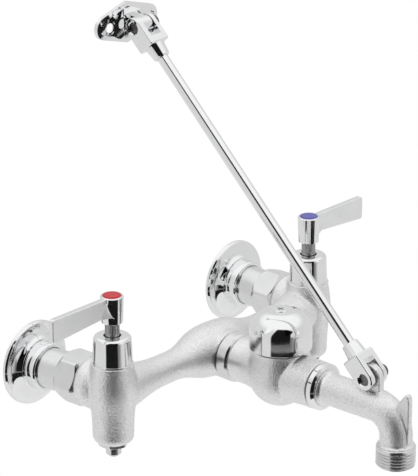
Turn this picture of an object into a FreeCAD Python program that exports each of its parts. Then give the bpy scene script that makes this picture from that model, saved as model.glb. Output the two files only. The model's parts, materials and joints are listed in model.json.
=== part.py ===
import FreeCAD, Part
import math
import os
from FreeCAD import Placement, Rotation, Vector

# Utility sink faucet, in millimetres.
# X runs along the wall to the cold side, Y into the wall, Z up.
# The wall is the plane Y = 0, and the origin lies midway between the two supplies.

# Overall places
valve_spacing = 203.2        # 8 in between the valve axes
valve_reach = 73.4           # wall to valve axis
supply_offset = 1.6          # each supply lies this much further out than its valve
outlet_reach = 235.4         # wall to the hose outlet's axis
breaker_reach = 134.2        # wall to the vacuum breaker's axis
outlet_drop = 2.5            # the outlet line lies this far under the supplies
arm_drop = 1.5               # the arms' line lies this far under the supplies

# Fits, all on the radius
thread_fit = 0.1
running_fit = 0.05
slip_fit = 0.15
face_gap = 0.05

# Wall flange, measured out from the wall
flange_radius = 29.6
flange_rim = 2.0
flange_bevel = 1.2
flange_depth = 17.0
flange_step_radius = 18.7
flange_step_depth = 8.0
flange_collar_radius = 17.2
flange_mouth_radius = 15.7
flange_hollow_radius = 27.2  # hollow back, inside the rim that meets the wall
flange_hollow_inner = 17.0
flange_hollow_depth = 5.2

# Supply shank
shank_radius = 14.3
shank_bore = 7.5
supply_thread_radius = 10.6  # 1/2 in pipe thread, female
supply_thread_depth = 15.0
shank_straight = 19.0        # length on the supply's axis
shank_shift = 14.0           # length over which it shifts to the valve's axis
shank_collar_radius = 14.95
shank_collar_width = 3.0

# Union
nut_start = 34.0
nut_width = 18.0
nut_flats = 33.2
nut_corner_radius = 18.6
nut_rear_chamfer = 3.2
nut_rear_radius = 16.8       # where the rear chamfer meets the face
nut_front_chamfer = 2.0
nut_front_radius = 16.1
nut_shoulder = 6.2
hot_nut_turn = 9.0           # from +X to a corner, as each nut was left
cold_nut_turn = 44.0
washer_thickness = 1.5
nipple_radius = 15.0
nipple_bore = 8.0

# Valve barrel, heights from the supplies' axis
barrel_top = 19.0
barrel_top_radius = 14.6
barrel_waist_radius = 16.4
barrel_radius = 14.1
barrel_bottom = -38.2
barrel_rounding = 5.4
inlet_boss_radius = 17.6
inlet_boss_start = 53.0
inlet_boss_length = 6.0
neck_radius = 11.6
neck_top = 30.0

# Yoke arms and middle boss
arm_radius = 10.5
arm_root_radius = 14.6       # where each arm leaves its valve
hub_swell_radius = 18.6
middle_boss_radius = 17.0
middle_boss_reach = 16.1     # from the valves' axes to its front
arm_bore = 7.0               # along each arm
arm_bore_end = 76.0
drop_bore = 4.5              # from the arm's bore down to the stop's chamber
drop_bore_depth = 7.0        # its end lies this far under the stop's seat

# Passages in the valve barrel
cartridge_bore = 9.4
cartridge_seat = -2.0
port_radius = 5.0
port_web = 3.0               # web between the cartridge and the stop
stop_bore = 8.0
inlet_rise = 4.5             # the inlet port enters above the seat

# Bonnet
bonnet_radius = 13.5
bonnet_taper = 0.6
bonnet_height = 20.2
bonnet_shoulder = 2.8
bonnet_lip = 0.25
bonnet_lip_height = 1.2
bonnet_mouth_radius = 6.0

# Cartridge, discs and stem
cartridge_wall = 1.9
cartridge_collar_radius = 10.9
cartridge_collar = 2.6
cartridge_roof = 5.0
window_width = 5.0
window_edge = 0.2            # left over and under each window
gasket_thickness = 1.8
gasket_bore = 5.2
disc_thickness = 3.2
disc_radius = 7.2
disc_port_radius = 2.2
disc_port_offset = 3.8
stem_radius = 4.9
stem_bar = 3.0               # height of the bar that turns the disc
stem_bar_width = 2.8
stem_key = 0.9               # the bar's depth in the disc's slot
stem_top = 60.0
spline_teeth = 20
spline_depth = 0.45
spline_start = 40.5

# Handle, heights from the supplies' axis
handle_bottom = 48.55
handle_top = 67.7
hub_bottom_radius = 7.3
hub_top_radius = 7.9
hub_bevel = 0.7
blade_length = 58.0
blade_thickness = 4.3
blade_root_height = 13.0
blade_tip_height = 16.8
blade_top = 67.3
blade_corner = 2.2
blade_edge = 0.7
blade_gusset = 1.3           # fillet under the blade where it meets the hub
web_wrap = 56.0              # degrees round the hub, from the blade to each web's tip
web_reach = 4.5              # from the hub out along the blade
web_top = 3.0                # the webs run out this far under the blade's top
button_radius = 6.45
button_rise = 0.6
button_thickness = 1.6
handle_screw_radius = 2.0
handle_screw_head_radius = 3.6
handle_screw_head = 2.4
handle_screw_grip = 9.0

# Stop under each valve
stop_plate_flats = 18.4
stop_plate_turn = 30.0       # from +X to a corner
stop_plate = 2.2
stop_tube_radius = 5.3
stop_tube_end = -47.2
stop_plug_length = 8.0
stop_stem_radius = 3.6
stop_stem_end = -48.6
stop_washer_radius = 6.4
stop_washer_thickness = 2.0
stop_washer_top = -20.0
stop_head = 2.0              # thickness of the stem's head
stop_spigot_radius = 1.8
stop_slot = 1.2
stop_slot_depth = 1.4

# Joint between yoke and vacuum breaker
coupling_nut_radius = 17.2
coupling_nut_width = 9.2
coupling_chamfer = 1.4
coupling_thread_radius = 13.3
coupling_engagement = 10.0
coupling_gasket_thickness = 0.7
coupling_gasket_radius = 15.8

# Vacuum breaker body, heights from the outlet line
bulb_radius = 21.7
bulb_drop = 1.6
barrel_mouth_radius = 19.4
barrel_mouth_height = 17.7
inlet_neck_radius = 16.0
outlet_boss_radius = 16.4
outlet_boss_reach = 35.4     # from the breaker's axis to its front
side_swell_radius = 17.3     # both necks swell to this at the breaker's axis
breaker_wall_bore = 9.0
chamber_radius = 14.5
chamber_floor = -5.5
sump_radius = 9.5
sump_depth = 9.0

# Float and its guide
guide_plug_length = 10.2
guide_flange_radius = 17.0
guide_flange = 1.9
guide_post_radius = 4.2
air_ports = 6
air_port_radius = 1.9
air_port_circle = 8.8
float_radius = 12.8
float_height = 7.0
float_rest_gap = 0.1
float_stem_radius = 2.4
float_stem_length = 10.5
float_seal_bore = 4.0
float_seal_thickness = 1.5

# Dome and its screw
dome_radius = 21.7
dome_rim_gap = 1.3
dome_height = 26.1
dome_shoulder = 14.0
dome_wall = 1.5
dome_dish_radius = 5.1
dome_dish_depth = 0.6
dome_vent_radius = 1.3
dome_vent_height = 4.6
dome_vent_angle = 164.7      # from the cold side, seen from above
cap_screw_radius = 2.0
cap_screw_head_radius = 4.65
cap_screw_head = 1.7
cap_screw_length = 9.0
cap_screw_cross = 1.1
cap_screw_cross_length = 5.6
cap_screw_cross_depth = 1.0

# Spout
spout_radius = 11.1
spout_bore = 8.5
spout_bend = 17.5
spout_thread_radius = 11.8
spout_engagement = 11.5
spout_collar_radius = 13.1
spout_collar = 1.8
spout_nut_radius = 16.2
spout_nut_width = 5.6
spout_nut_chamfer = 1.7
spout_nut_face_radius = 13.9
spout_gasket_thickness = 0.6
spout_gasket_radius = 14.6
hose_thread_radius = 13.4
hose_thread_pitch = 2.209    # 11.5 threads to the inch
hose_thread_depth = 1.1
hose_thread_turns = 5
hose_collar = 2.9
outlet_bottom = -41.0
hose_chamfer = 0.7

# Pail hook
hook_thickness = 4.6
hook_front = 11.5            # from the outlet's axis
hook_top = 12.2
hook_root_back = 1.0         # its back edge leaves the spout here, behind the axis
hook_tip_back = 7.6
hook_root_height = 1.5
hook_bottom = -23.5
hook_rounding = 2.6

# Brace lug on the spout
lug_thickness = 5.5
lug_radius = 9.2
brace_foot_reach = 213.2     # wall to the lower pin
brace_foot_height = 16.6

# Wall bracket
bracket_offset = -9.1        # the bracket stands this far to the hot side
bracket_height = 221.7
bracket_standoff = 16.1      # wall to the upper pin
bracket_half_length = 29.8
bracket_lobe_radius = 8.0
bracket_half_height = 14.4
bracket_middle_radius = 5.0
bracket_plate = 3.0
bracket_rim = 3.2
bracket_recess = 1.5
bracket_hole_radius = 3.4
bracket_hole_spacing = 31.0
bracket_hole_drop = 1.4        # the holes lie this far under the lobes' centres
bracket_sink_radius = 4.9
bracket_sink_depth = 0.4
bracket_block_half_width = 9.4
bracket_block_drop = 10.4
bracket_block_front = 8.4     # height of its front edge above the pin
bracket_block_peak = 11.6     # height of its ridge at the plate
bracket_peak_half_width = 1.2
tongue_thickness = 8.6
tongue_radius = 6.8

# Forks, pins and rod
fork_width = 18.0
ear_thickness = 4.2
ear_radius = 7.3
fork_crotch = 11.4           # pin to the fork's floor
fork_floor = 5.5
socket_radius = 5.8          # at the rod's end
socket_root_radius = 6.9
socket_length = 9.4
fork_edge = 1.2
pin_radius = 3.9
pin_recess = 2.2
pin_head_radius = 4.8
pin_head = 4.5
pin_head_chamfer = 0.8
pin_countersink = 0.7        # on the ears' outer faces
rod_radius = 3.97            # 5/16 in
rod_grip = 12.0

# Places that follow from the values above
valve_x = valve_spacing / 2
supply_x = valve_x + supply_offset
nut_end = nut_start + nut_width
middle_boss_front = valve_reach + middle_boss_reach
outlet_boss_front = breaker_reach + outlet_boss_reach
nut_bore = shank_radius + slip_fit
collar_start = nut_start + nut_shoulder + face_gap
collar_end = collar_start + shank_collar_width
nipple_start = collar_end + washer_thickness
seat_top = cartridge_seat + gasket_thickness
disc_top = seat_top + disc_thickness
moving_disc_base = disc_top + face_gap
moving_disc_top = moving_disc_base + disc_thickness
stem_base = moving_disc_top
cartridge_top = neck_top + cartridge_collar
bonnet_top = barrel_top + bonnet_height
neck_bore = cartridge_bore
stop_seat = cartridge_seat - port_web
coupling_nut_rear = middle_boss_front + coupling_gasket_thickness
coupling_nut_front = coupling_nut_rear + coupling_nut_width
inlet_neck_start = coupling_nut_front + face_gap
bulb_z = -outlet_drop - bulb_drop
breaker_top = barrel_mouth_height - outlet_drop
chamber_floor_z = chamber_floor - outlet_drop
float_base = chamber_floor_z + float_rest_gap
float_top = float_base + float_height
seal_top = float_top + float_seal_thickness
guide_bottom = breaker_top - guide_plug_length
dome_rim = breaker_top + dome_rim_gap
dome_top = dome_rim + dome_height
post_top = dome_top - dome_wall - dome_dish_depth
spout_nut_rear = outlet_boss_front + spout_gasket_thickness
spout_nut_front = spout_nut_rear + spout_nut_width
spout_collar_rear = spout_nut_front + face_gap
lower_pin_place = Vector(0, -brace_foot_reach, brace_foot_height)
upper_pin_place = Vector(bracket_offset, -bracket_standoff, bracket_height)
rod_way = (upper_pin_place - lower_pin_place).normalize()
pin_way = (Vector(1, 0, 0) - rod_way * rod_way.x).normalize()
brace_length = upper_pin_place.distanceToPoint(lower_pin_place)


def cylinder(radius, low, high):
    return Part.makeCylinder(radius, high - low, Vector(0, 0, low))


def box(x_range, y_range, z_range):
    size = [high - low for low, high in (x_range, y_range, z_range)]
    return Part.makeBox(*size, Vector(x_range[0], y_range[0], z_range[0]))


def outline_face(outline, to_vector):
    # A closed face. A step of two points is an arc, one of more is a smooth curve.
    here = to_vector(outline[0])
    edges = []
    for step in outline[1:] + [outline[0]]:
        if isinstance(step, tuple):
            end = to_vector(step)
            if here.distanceToPoint(end) > 0.001:
                edges.append(Part.LineSegment(here, end).toShape())
        elif len(step) == 2:
            middle, end = [to_vector(point) for point in step]
            edges.append(Part.Arc(here, middle, end).toShape())
        else:
            points = [here] + [to_vector(point) for point in step]
            curve = Part.BSplineCurve()
            curve.interpolate(points)
            end = points[-1]
            edges.append(curve.toShape())
        here = end
    return Part.Face(Part.Wire(edges))


def turned(outline):
    # A solid of revolution about Z from (radius, height) points.
    face = outline_face(outline, lambda point: Vector(point[0], 0, point[1]))
    return face.revolve(Vector(0, 0, 0), Vector(0, 0, 1), 360)


def side_plate(outline, thickness):
    # A plate in the YZ plane, centred on X = 0, from (y, z) points.
    face = outline_face(outline, lambda point: Vector(-thickness / 2, point[0], point[1]))
    return face.extrude(Vector(thickness, 0, 0))


def hexagon(flats, low, high, turn):
    # turn is the angle in degrees from X to a corner.
    corner = flats / 2 / math.cos(math.pi / 6)
    angles = [math.radians(turn + 60 * side) for side in range(7)]
    points = [Vector(corner * math.cos(angle), corner * math.sin(angle), low) for angle in angles]
    return Part.Face(Part.makePolygon(points)).extrude(Vector(0, 0, high - low))


def outward(shape, x, z=0.0):
    # Lay a shape made about Z along the line that leaves the wall at (x, z).
    moved = shape.copy()
    lay = Placement(Vector(x, 0, z), Rotation(Vector(1, 0, 0), 90))
    moved.Placement = lay.multiply(shape.Placement)
    return moved


def upright(shape, x, reach):
    moved = shape.copy()
    moved.Placement = Placement(Vector(x, -reach, 0), Rotation()).multiply(shape.Placement)
    return moved


def on_brace(shape, place, way):
    # Set a shape with its pin along X and its rod along Z onto the brace.
    across = way.cross(pin_way)
    turn = Rotation(pin_way, across, way, "ZXY")
    moved = shape.copy()
    moved.Placement = Placement(place, turn).multiply(shape.Placement)
    return moved


def joined(first, *others):
    return first.fuse(list(others)).removeSplitter()


def cut_from(first, *others):
    return first.cut(Part.makeCompound(list(others)))


def wall_flange():
    bore = shank_radius + slip_fit
    rim = flange_radius
    land = rim - flange_bevel
    rim_top = flange_rim + flange_bevel
    rise = flange_step_depth - rim_top
    run = land - flange_step_radius
    collar_bevel = flange_collar_radius - flange_mouth_radius
    shell = turned([
        (bore, 0),
        (rim, 0),
        (rim, flange_rim),
        (land, rim_top),
        [(land - run * 0.3, rim_top + rise * 0.11), (land - run * 0.61, rim_top + rise * 0.34),
         (land - run * 0.87, rim_top + rise * 0.7), (flange_step_radius, flange_step_depth)],
        (flange_collar_radius, flange_step_depth + 0.2),
        (flange_collar_radius, flange_depth - collar_bevel * 1.2),
        [(flange_mouth_radius + collar_bevel * 0.75, flange_depth - collar_bevel * 0.4),
         (flange_mouth_radius, flange_depth)],
        (bore, flange_depth),
    ])
    hollow = turned([
        (flange_hollow_inner, 0),
        (flange_hollow_radius, 0),
        (flange_hollow_radius, flange_rim - 0.6),
        (flange_hollow_radius - 4.0, flange_rim - 0.4),
        (flange_hollow_inner + 1.0, flange_hollow_depth),
        (flange_hollow_inner, flange_hollow_depth),
    ])
    return shell.cut(hollow)


def supply_shank(side):
    # Its wall end is on the supply's axis, its collar on the valve's axis.
    offset = Vector(side * supply_offset, 0, 0)
    wall_end = Part.makeCylinder(shank_radius, shank_straight, offset)
    start = Part.Wire(Part.makeCircle(shank_radius, offset + Vector(0, 0, shank_straight)))
    shift_end = shank_straight + shank_shift
    end = Part.Wire(Part.makeCircle(shank_radius, Vector(0, 0, shift_end)))
    shift = Part.makeLoft([start, end], True, True)
    tail = cylinder(shank_radius, shift_end, collar_end)
    collar = cylinder(shank_collar_radius, collar_start, collar_end)
    bore = Part.makeCylinder(shank_bore, collar_end, offset * 0.5)
    socket = Part.makeCylinder(supply_thread_radius, supply_thread_depth, offset)
    body = joined(wall_end, shift, tail, collar)
    return cut_from(body, bore, socket)


def union_nut(turn):
    envelope = turned([
        (0, nut_start),
        (nut_rear_radius, nut_start),
        (nut_corner_radius, nut_start + nut_rear_chamfer),
        (nut_corner_radius, nut_end - nut_front_chamfer),
        (nut_front_radius, nut_end),
        (0, nut_end),
    ])
    blank = hexagon(nut_flats, nut_start, nut_end, turn).common(envelope)
    shoulder_bore = cylinder(nut_bore, nut_start, nut_end)
    thread = cylinder(nipple_radius + thread_fit, nut_start + nut_shoulder, nut_end)
    return cut_from(blank, shoulder_bore, thread)


def union_washer():
    ring = cylinder(shank_collar_radius - thread_fit, collar_end, nipple_start)
    return ring.cut(cylinder(nipple_bore, collar_end, nipple_start))


def valve_barrel():
    # Outside of one valve, with the neck that the bonnet screws onto.
    round_start = barrel_radius - barrel_rounding
    lean = barrel_rounding * (1 - math.cos(math.pi / 4))
    top_ring = barrel_top - 3.2
    return turned([
        (0, barrel_bottom),
        (round_start, barrel_bottom),
        [(barrel_radius - lean, barrel_bottom + lean),
         (barrel_radius, barrel_bottom + barrel_rounding)],
        [(barrel_radius + 0.1, -25.0), (15.1, -13.0), (barrel_waist_radius, 0.0),
         (15.7, 9.0), (barrel_top_radius, top_ring)],
        (barrel_top_radius, barrel_top),
        (neck_radius, barrel_top),
        (neck_radius, neck_top),
        (0, neck_top),
    ])


def inlet_boss():
    front = inlet_boss_start + inlet_boss_length
    return turned([
        (0, nipple_start),
        (nipple_radius, nipple_start),
        (nipple_radius, inlet_boss_start),
        (inlet_boss_radius - 0.7, inlet_boss_start),
        (inlet_boss_radius, inlet_boss_start + 0.7),
        (inlet_boss_radius, front),
        [(16.6, front + 3.5), (barrel_radius, valve_reach - 6.0), (10.0, valve_reach)],
        (0, valve_reach),
    ])


def yoke_arms():
    # One turned form along X: both arms and the swelling in the middle.
    # Its width rises from the arm's waist by these shares of the root's or the swelling's.
    waist = valve_x * 0.492
    root = arm_root_radius - arm_radius
    swell = hub_swell_radius - arm_radius
    half = [(valve_x * place, arm_radius + root * share)
            for place, share in ((0.846, 1.0), (0.748, 0.537), (0.63, 0.122))]
    half.append((waist, arm_radius))
    half += [(valve_x * place, arm_radius + swell * share)
             for place, share in ((0.374, 0.049), (0.266, 0.383), (0.167, 0.79), (0.079, 0.963))]
    curve = [(radius, -x) for x, radius in half]
    curve += [(hub_swell_radius, 0)]
    curve += [(radius, x) for x, radius in reversed(half)]
    form = turned([(0, -valve_x), (arm_root_radius, -valve_x), curve,
                   (arm_root_radius, valve_x), (0, valve_x)])
    form.Placement = Placement(Vector(0, -valve_reach, -arm_drop), Rotation(Vector(0, 1, 0), 90))
    return form


def yoke_body():
    solids = [yoke_arms()]
    hollows = []
    for side in (-1, 1):
        x = side * valve_x
        solids.append(upright(valve_barrel(), x, valve_reach))
        solids.append(outward(inlet_boss(), x))
        hollows += [upright(hollow, x, valve_reach) for hollow in (
            cylinder(neck_bore, cartridge_seat, neck_top),
            cylinder(port_radius, stop_seat, cartridge_seat),
            cylinder(stop_bore, barrel_bottom, stop_seat))]
        hollows.append(outward(cylinder(nipple_bore, nipple_start, valve_reach - 15.0), x))
        hollows.append(outward(cylinder(port_radius, valve_reach - 16.0, valve_reach), x, inlet_rise))
        hollows.append(arm_passage(side))
    boss = cylinder(middle_boss_radius, valve_reach, middle_boss_front)
    solids.append(outward(boss, 0, -outlet_drop))
    socket_floor = middle_boss_front - coupling_engagement - 1.0
    socket = cylinder(coupling_thread_radius + thread_fit, socket_floor, middle_boss_front)
    chamber = cylinder(breaker_wall_bore, valve_reach - 8.0, middle_boss_front)
    ahead = 2 * middle_boss_radius
    trim = box((-ahead, ahead), (-ahead, ahead), (middle_boss_front, middle_boss_front + ahead))
    hollows += [outward(hollow, 0, -outlet_drop) for hollow in (socket, chamber, trim)]
    return cut_from(joined(*solids), *hollows)


def arm_passage(side):
    # Along the arm, then down to the chamber under the cartridge's seat.
    middle = Vector(0, -valve_reach, -arm_drop)
    along = Part.makeCylinder(arm_bore, arm_bore_end, middle, Vector(side, 0, 0))
    start = Vector(side * (arm_bore_end + 2.0), -valve_reach, -arm_drop)
    end = Vector(side * valve_x, -valve_reach, stop_seat - drop_bore_depth)
    drop = Part.makeCylinder(drop_bore, start.distanceToPoint(end), start, end - start)
    knee = Part.makeSphere(drop_bore, start)
    return along.fuse([drop, knee])


def bonnet():
    top_radius = bonnet_radius - bonnet_taper
    lean = bonnet_shoulder * (1 - math.cos(math.pi / 4))
    shell = turned([
        (0, barrel_top + face_gap),
        (bonnet_radius + bonnet_lip, barrel_top + face_gap),
        (bonnet_radius + bonnet_lip, barrel_top + bonnet_lip_height),
        (bonnet_radius, barrel_top + bonnet_lip_height + 0.3),
        (top_radius, bonnet_top - bonnet_shoulder),
        [(top_radius - lean, bonnet_top - lean), (top_radius - bonnet_shoulder, bonnet_top)],
        (0, bonnet_top),
    ])
    hollow_top = cartridge_top + face_gap
    thread = cylinder(neck_radius + thread_fit, barrel_top, hollow_top)
    mouth = cylinder(bonnet_mouth_radius, hollow_top, bonnet_top)
    return cut_from(shell, thread, mouth)


def cartridge():
    roof_low = cartridge_top - cartridge_roof
    shell = cylinder(cartridge_bore - running_fit, seat_top, neck_top)
    collar = cylinder(cartridge_collar_radius, neck_top, cartridge_top)
    hollow = cylinder(cartridge_bore - cartridge_wall, seat_top, roof_low)
    guide = cylinder(stem_radius + running_fit, roof_low, cartridge_top)
    window = box((-window_width / 2, window_width / 2), (-cartridge_bore, cartridge_bore),
                 (stem_base + window_edge, stem_base + stem_bar - window_edge))
    return cut_from(joined(shell, collar), hollow, guide, window)


def fixed_disc():
    return ported_disc(seat_top)


def ported_disc(low):
    solid = cylinder(disc_radius, low, low + disc_thickness)
    holes = []
    for side in (-1, 1):
        place = Vector(side * disc_port_offset, 0, low)
        holes.append(Part.makeCylinder(disc_port_radius, disc_thickness, place))
    return cut_from(solid, *holes)


def moving_disc():
    # At rest its ports stand a quarter turn from those of the fixed disc.
    solid = ported_disc(moving_disc_base)
    solid.rotate(Vector(0, 0, 0), Vector(0, 0, 1), 90)
    half = stem_bar_width / 2 + running_fit
    slot = box((-disc_radius, disc_radius), (-half, half),
               (moving_disc_top - stem_key - running_fit, moving_disc_top))
    return solid.cut(slot)


def stem():
    half = stem_bar_width / 2
    bar_end = disc_radius - running_fit
    bar = box((-bar_end, bar_end), (-half, half), (stem_base - stem_key, stem_base + stem_bar))
    bar = bar.common(cylinder(bar_end, stem_base - stem_key, stem_base + stem_bar))
    shaft = cylinder(stem_radius, stem_base + stem_bar, stem_top)
    grooves = []
    for tooth in range(spline_teeth):
        groove = Part.makeCylinder(spline_depth, stem_top - spline_start,
                                   Vector(stem_radius, 0, spline_start))
        groove.rotate(Vector(0, 0, 0), Vector(0, 0, 1), 360 / spline_teeth * tooth)
        grooves.append(groove)
    tapped = cylinder(handle_screw_radius + thread_fit, stem_top - handle_screw_grip - 1.0, stem_top)
    return cut_from(joined(bar, shaft), tapped, *grooves)


def stem_ring():
    low = bonnet_top - 1.9
    ring = cylinder(bonnet_mouth_radius - running_fit, low, bonnet_top - 0.3)
    return ring.cut(cylinder(stem_radius + running_fit, low, bonnet_top))


def handle_web(across):
    # Fills the corner between hub and blade, widest at the blade's underside.
    half = blade_thickness / 2
    low = blade_top - blade_root_height
    high = blade_top - web_top
    narrow = math.degrees(math.asin(half / hub_top_radius)) + 2.0
    rings = []
    for height, wrap, reach, radius in ((low, web_wrap, web_reach, hub_bottom_radius),
                                        (high, narrow, 0.5, hub_top_radius - 0.3)):
        tip = math.radians(wrap)
        points = [(0, 0), (radius * math.cos(tip), across * radius * math.sin(tip)),
                  (hub_top_radius + reach, across * (half - 0.05)), (hub_top_radius + reach, 0)]
        ring = [Vector(x, y, height) for x, y in points]
        rings.append(Part.makePolygon(ring + ring[:1]))
    return Part.makeLoft(rings, True, True)


def handle(side):
    # The blade leaves the hub along X, outward from the spout.
    hub = turned([
        (0, handle_bottom),
        (hub_bottom_radius - 0.5, handle_bottom),
        (hub_bottom_radius, handle_bottom + 0.5),
        (hub_top_radius, handle_top - hub_bevel),
        (hub_top_radius - hub_bevel, handle_top),
        (0, handle_top),
    ])
    root = blade_top - blade_root_height
    tip = blade_top - blade_tip_height
    start = hub_bottom_radius / 2
    face = outline_face([
        (start, blade_top),
        (start, root - blade_gusset),
        (hub_top_radius - 0.2, root - blade_gusset),
        (hub_top_radius + blade_gusset, root - 0.1),
        (blade_length, tip),
        (blade_length, blade_top),
    ], lambda point: Vector(point[0], -blade_thickness / 2, point[1]))
    blade = face.extrude(Vector(0, blade_thickness, 0))
    corners = [edge for edge in blade.Edges
               if edge.BoundBox.XMin > blade_length - 0.01 and edge.BoundBox.ZLength < 0.01]
    blade = blade.makeFillet(blade_corner, corners)
    long_edges = [edge for edge in blade.Edges
                  if edge.BoundBox.YLength < 0.01 and edge.BoundBox.XMax > start + 0.01]
    blade = blade.makeFillet(blade_edge, long_edges)
    button_seat = handle_top + button_rise - button_thickness
    screw_floor = button_seat - handle_screw_head - 0.6
    hollows = [
        cylinder(stem_radius + running_fit, handle_bottom, stem_top + 0.2),
        cylinder(handle_screw_radius + slip_fit, stem_top, screw_floor),
        cylinder(handle_screw_head_radius + slip_fit, screw_floor, button_seat),
        cylinder(button_radius + running_fit, button_seat, handle_top),
    ]
    solid = cut_from(joined(hub, blade, handle_web(-1), handle_web(1)), *hollows)
    if side < 0:
        solid.rotate(Vector(0, 0, 0), Vector(0, 0, 1), 180)
    return solid


def handle_screw():
    head_base = handle_top + button_rise - button_thickness - handle_screw_head - 0.6
    head = cylinder(handle_screw_head_radius, head_base, head_base + handle_screw_head)
    shank = cylinder(handle_screw_radius, stem_top - handle_screw_grip, head_base)
    slot = box((-handle_screw_head_radius, handle_screw_head_radius), (-0.5, 0.5),
               (head_base + handle_screw_head - 1.0, head_base + handle_screw_head))
    return joined(head, shank).cut(slot)


def index_button():
    top = handle_top + button_rise
    base = top - button_thickness
    return turned([
        (0, base),
        (button_radius, base),
        (button_radius, handle_top),
        [(button_radius - 0.4, top - 0.2), (button_radius - 1.5, top)],
        (0, top),
    ])


def stop_bushing():
    plug_top = barrel_bottom + stop_plug_length
    plate_low = barrel_bottom - stop_plate
    plate = hexagon(stop_plate_flats, plate_low, barrel_bottom, stop_plate_turn)
    plate = plate.common(turned([
        (0, plate_low),
        (stop_plate_flats / 2 + 0.2, plate_low),
        (stop_plate_flats / 2 + 1.5, plate_low + 0.7),
        (stop_plate_flats / 2 + 1.5, barrel_bottom),
        (0, barrel_bottom),
    ]))
    plug = cylinder(stop_bore - thread_fit, barrel_bottom, plug_top)
    tube = turned([
        (0, stop_tube_end),
        (stop_tube_radius - 0.6, stop_tube_end),
        (stop_tube_radius, stop_tube_end + 0.6),
        (stop_tube_radius, plate_low),
        (0, plate_low),
    ])
    bore = cylinder(stop_stem_radius + running_fit, stop_tube_end, plug_top)
    return joined(plate, plug, tube).cut(bore)


def stop_stem():
    washer_base = stop_washer_top - stop_washer_thickness
    head_base = washer_base - stop_head
    head = cylinder(stop_washer_radius, head_base, washer_base)
    spigot = cylinder(stop_spigot_radius, washer_base, stop_washer_top)
    shank = turned([
        (0, stop_stem_end),
        (stop_stem_radius - 0.9, stop_stem_end),
        [(stop_stem_radius - 0.25, stop_stem_end + 0.3), (stop_stem_radius, stop_stem_end + 0.9)],
        (stop_stem_radius, head_base),
        (0, head_base),
    ])
    slot = box((-stop_stem_radius, stop_stem_radius), (-stop_slot / 2, stop_slot / 2),
               (stop_stem_end, stop_stem_end + stop_slot_depth))
    return joined(head, spigot, shank).cut(slot)


def stop_washer():
    low = stop_washer_top - stop_washer_thickness
    hole = cylinder(stop_spigot_radius + running_fit, low, stop_washer_top)
    return cylinder(stop_washer_radius, low, stop_washer_top).cut(hole)


def coupling_nut():
    front = coupling_nut_front
    ring = turned([
        (0, coupling_nut_rear),
        (coupling_nut_radius - 0.5, coupling_nut_rear),
        (coupling_nut_radius, coupling_nut_rear + 0.5),
        (coupling_nut_radius, front - coupling_chamfer),
        (coupling_nut_radius - coupling_chamfer, front),
        (0, front),
    ])
    return ring.cut(cylinder(coupling_thread_radius + thread_fit, coupling_nut_rear, front))


def coupling_gasket():
    ring = cylinder(coupling_gasket_radius, middle_boss_front, coupling_nut_rear)
    return ring.cut(cylinder(coupling_thread_radius + thread_fit, middle_boss_front, coupling_nut_rear))


def breaker_body():
    low_radius = bulb_radius * math.sin(math.pi / 4)
    bulb = turned([
        (0, bulb_z - bulb_radius),
        [(low_radius, bulb_z - low_radius), (bulb_radius, bulb_z)],
        [(21.4, bulb_z + 6.5), (20.6, breaker_top - 5.0), (barrel_mouth_radius, breaker_top - 0.8)],
        (barrel_mouth_radius - 0.8, breaker_top),
        (0, breaker_top),
    ])
    inlet_run = breaker_reach - inlet_neck_start
    neck = turned([
        (0, middle_boss_front - coupling_engagement),
        (coupling_thread_radius, middle_boss_front - coupling_engagement),
        (coupling_thread_radius, inlet_neck_start),
        (inlet_neck_radius - 0.6, inlet_neck_start),
        (inlet_neck_radius, inlet_neck_start + 0.6),
        (inlet_neck_radius, inlet_neck_start + inlet_run * 0.316),
        [(side_swell_radius - 0.3, inlet_neck_start + inlet_run * 0.54),
         (side_swell_radius, inlet_neck_start + inlet_run * 0.712),
         (side_swell_radius, breaker_reach)],
        (0, breaker_reach),
    ])
    boss = turned([
        (0, breaker_reach),
        (side_swell_radius, breaker_reach),
        [(side_swell_radius, breaker_reach + outlet_boss_reach * 0.282),
         (side_swell_radius - 0.3, breaker_reach + outlet_boss_reach * 0.48),
         (outlet_boss_radius, breaker_reach + outlet_boss_reach * 0.746)],
        (outlet_boss_radius, outlet_boss_front - 0.4),
        (outlet_boss_radius - 0.4, outlet_boss_front),
        (0, outlet_boss_front),
    ])
    socket_floor = outlet_boss_front - spout_engagement - 1.0
    inner = [
        upright(cylinder(chamber_radius, chamber_floor_z, breaker_top + 1.0), 0, breaker_reach),
        upright(cylinder(sump_radius, chamber_floor_z - sump_depth, chamber_floor_z), 0, breaker_reach),
        outward(cylinder(breaker_wall_bore, 0, outlet_boss_front), 0, -outlet_drop),
        outward(cylinder(spout_thread_radius + thread_fit, socket_floor, outlet_boss_front),
                0, -outlet_drop),
    ]
    body = joined(upright(bulb, 0, breaker_reach), outward(neck, 0, -outlet_drop),
                  outward(boss, 0, -outlet_drop))
    return cut_from(body, *inner)


def breaker_guide():
    plug = cylinder(chamber_radius - thread_fit, guide_bottom, breaker_top)
    flange = cylinder(guide_flange_radius, breaker_top, breaker_top + guide_flange)
    post = cylinder(guide_post_radius, breaker_top, post_top)
    holes = [cylinder(float_stem_radius + running_fit, guide_bottom, breaker_top - 1.0)]
    for port in range(air_ports):
        hole = Part.makeCylinder(air_port_radius, guide_plug_length + guide_flange,
                                 Vector(air_port_circle, 0, guide_bottom))
        hole.rotate(Vector(0, 0, 0), Vector(0, 0, 1), 360 / air_ports * port)
        holes.append(hole)
    holes.append(cylinder(cap_screw_radius + thread_fit, post_top - cap_screw_length, post_top))
    return cut_from(joined(plug, flange, post), *holes)


def breaker_float():
    disc_body = cylinder(float_radius, float_base, float_top)
    guide_stem = cylinder(float_stem_radius, float_top, float_top + float_stem_length)
    relief = cylinder(float_radius - 3.0, float_base, float_base + 3.0)
    return joined(disc_body, guide_stem).cut(relief)


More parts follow.
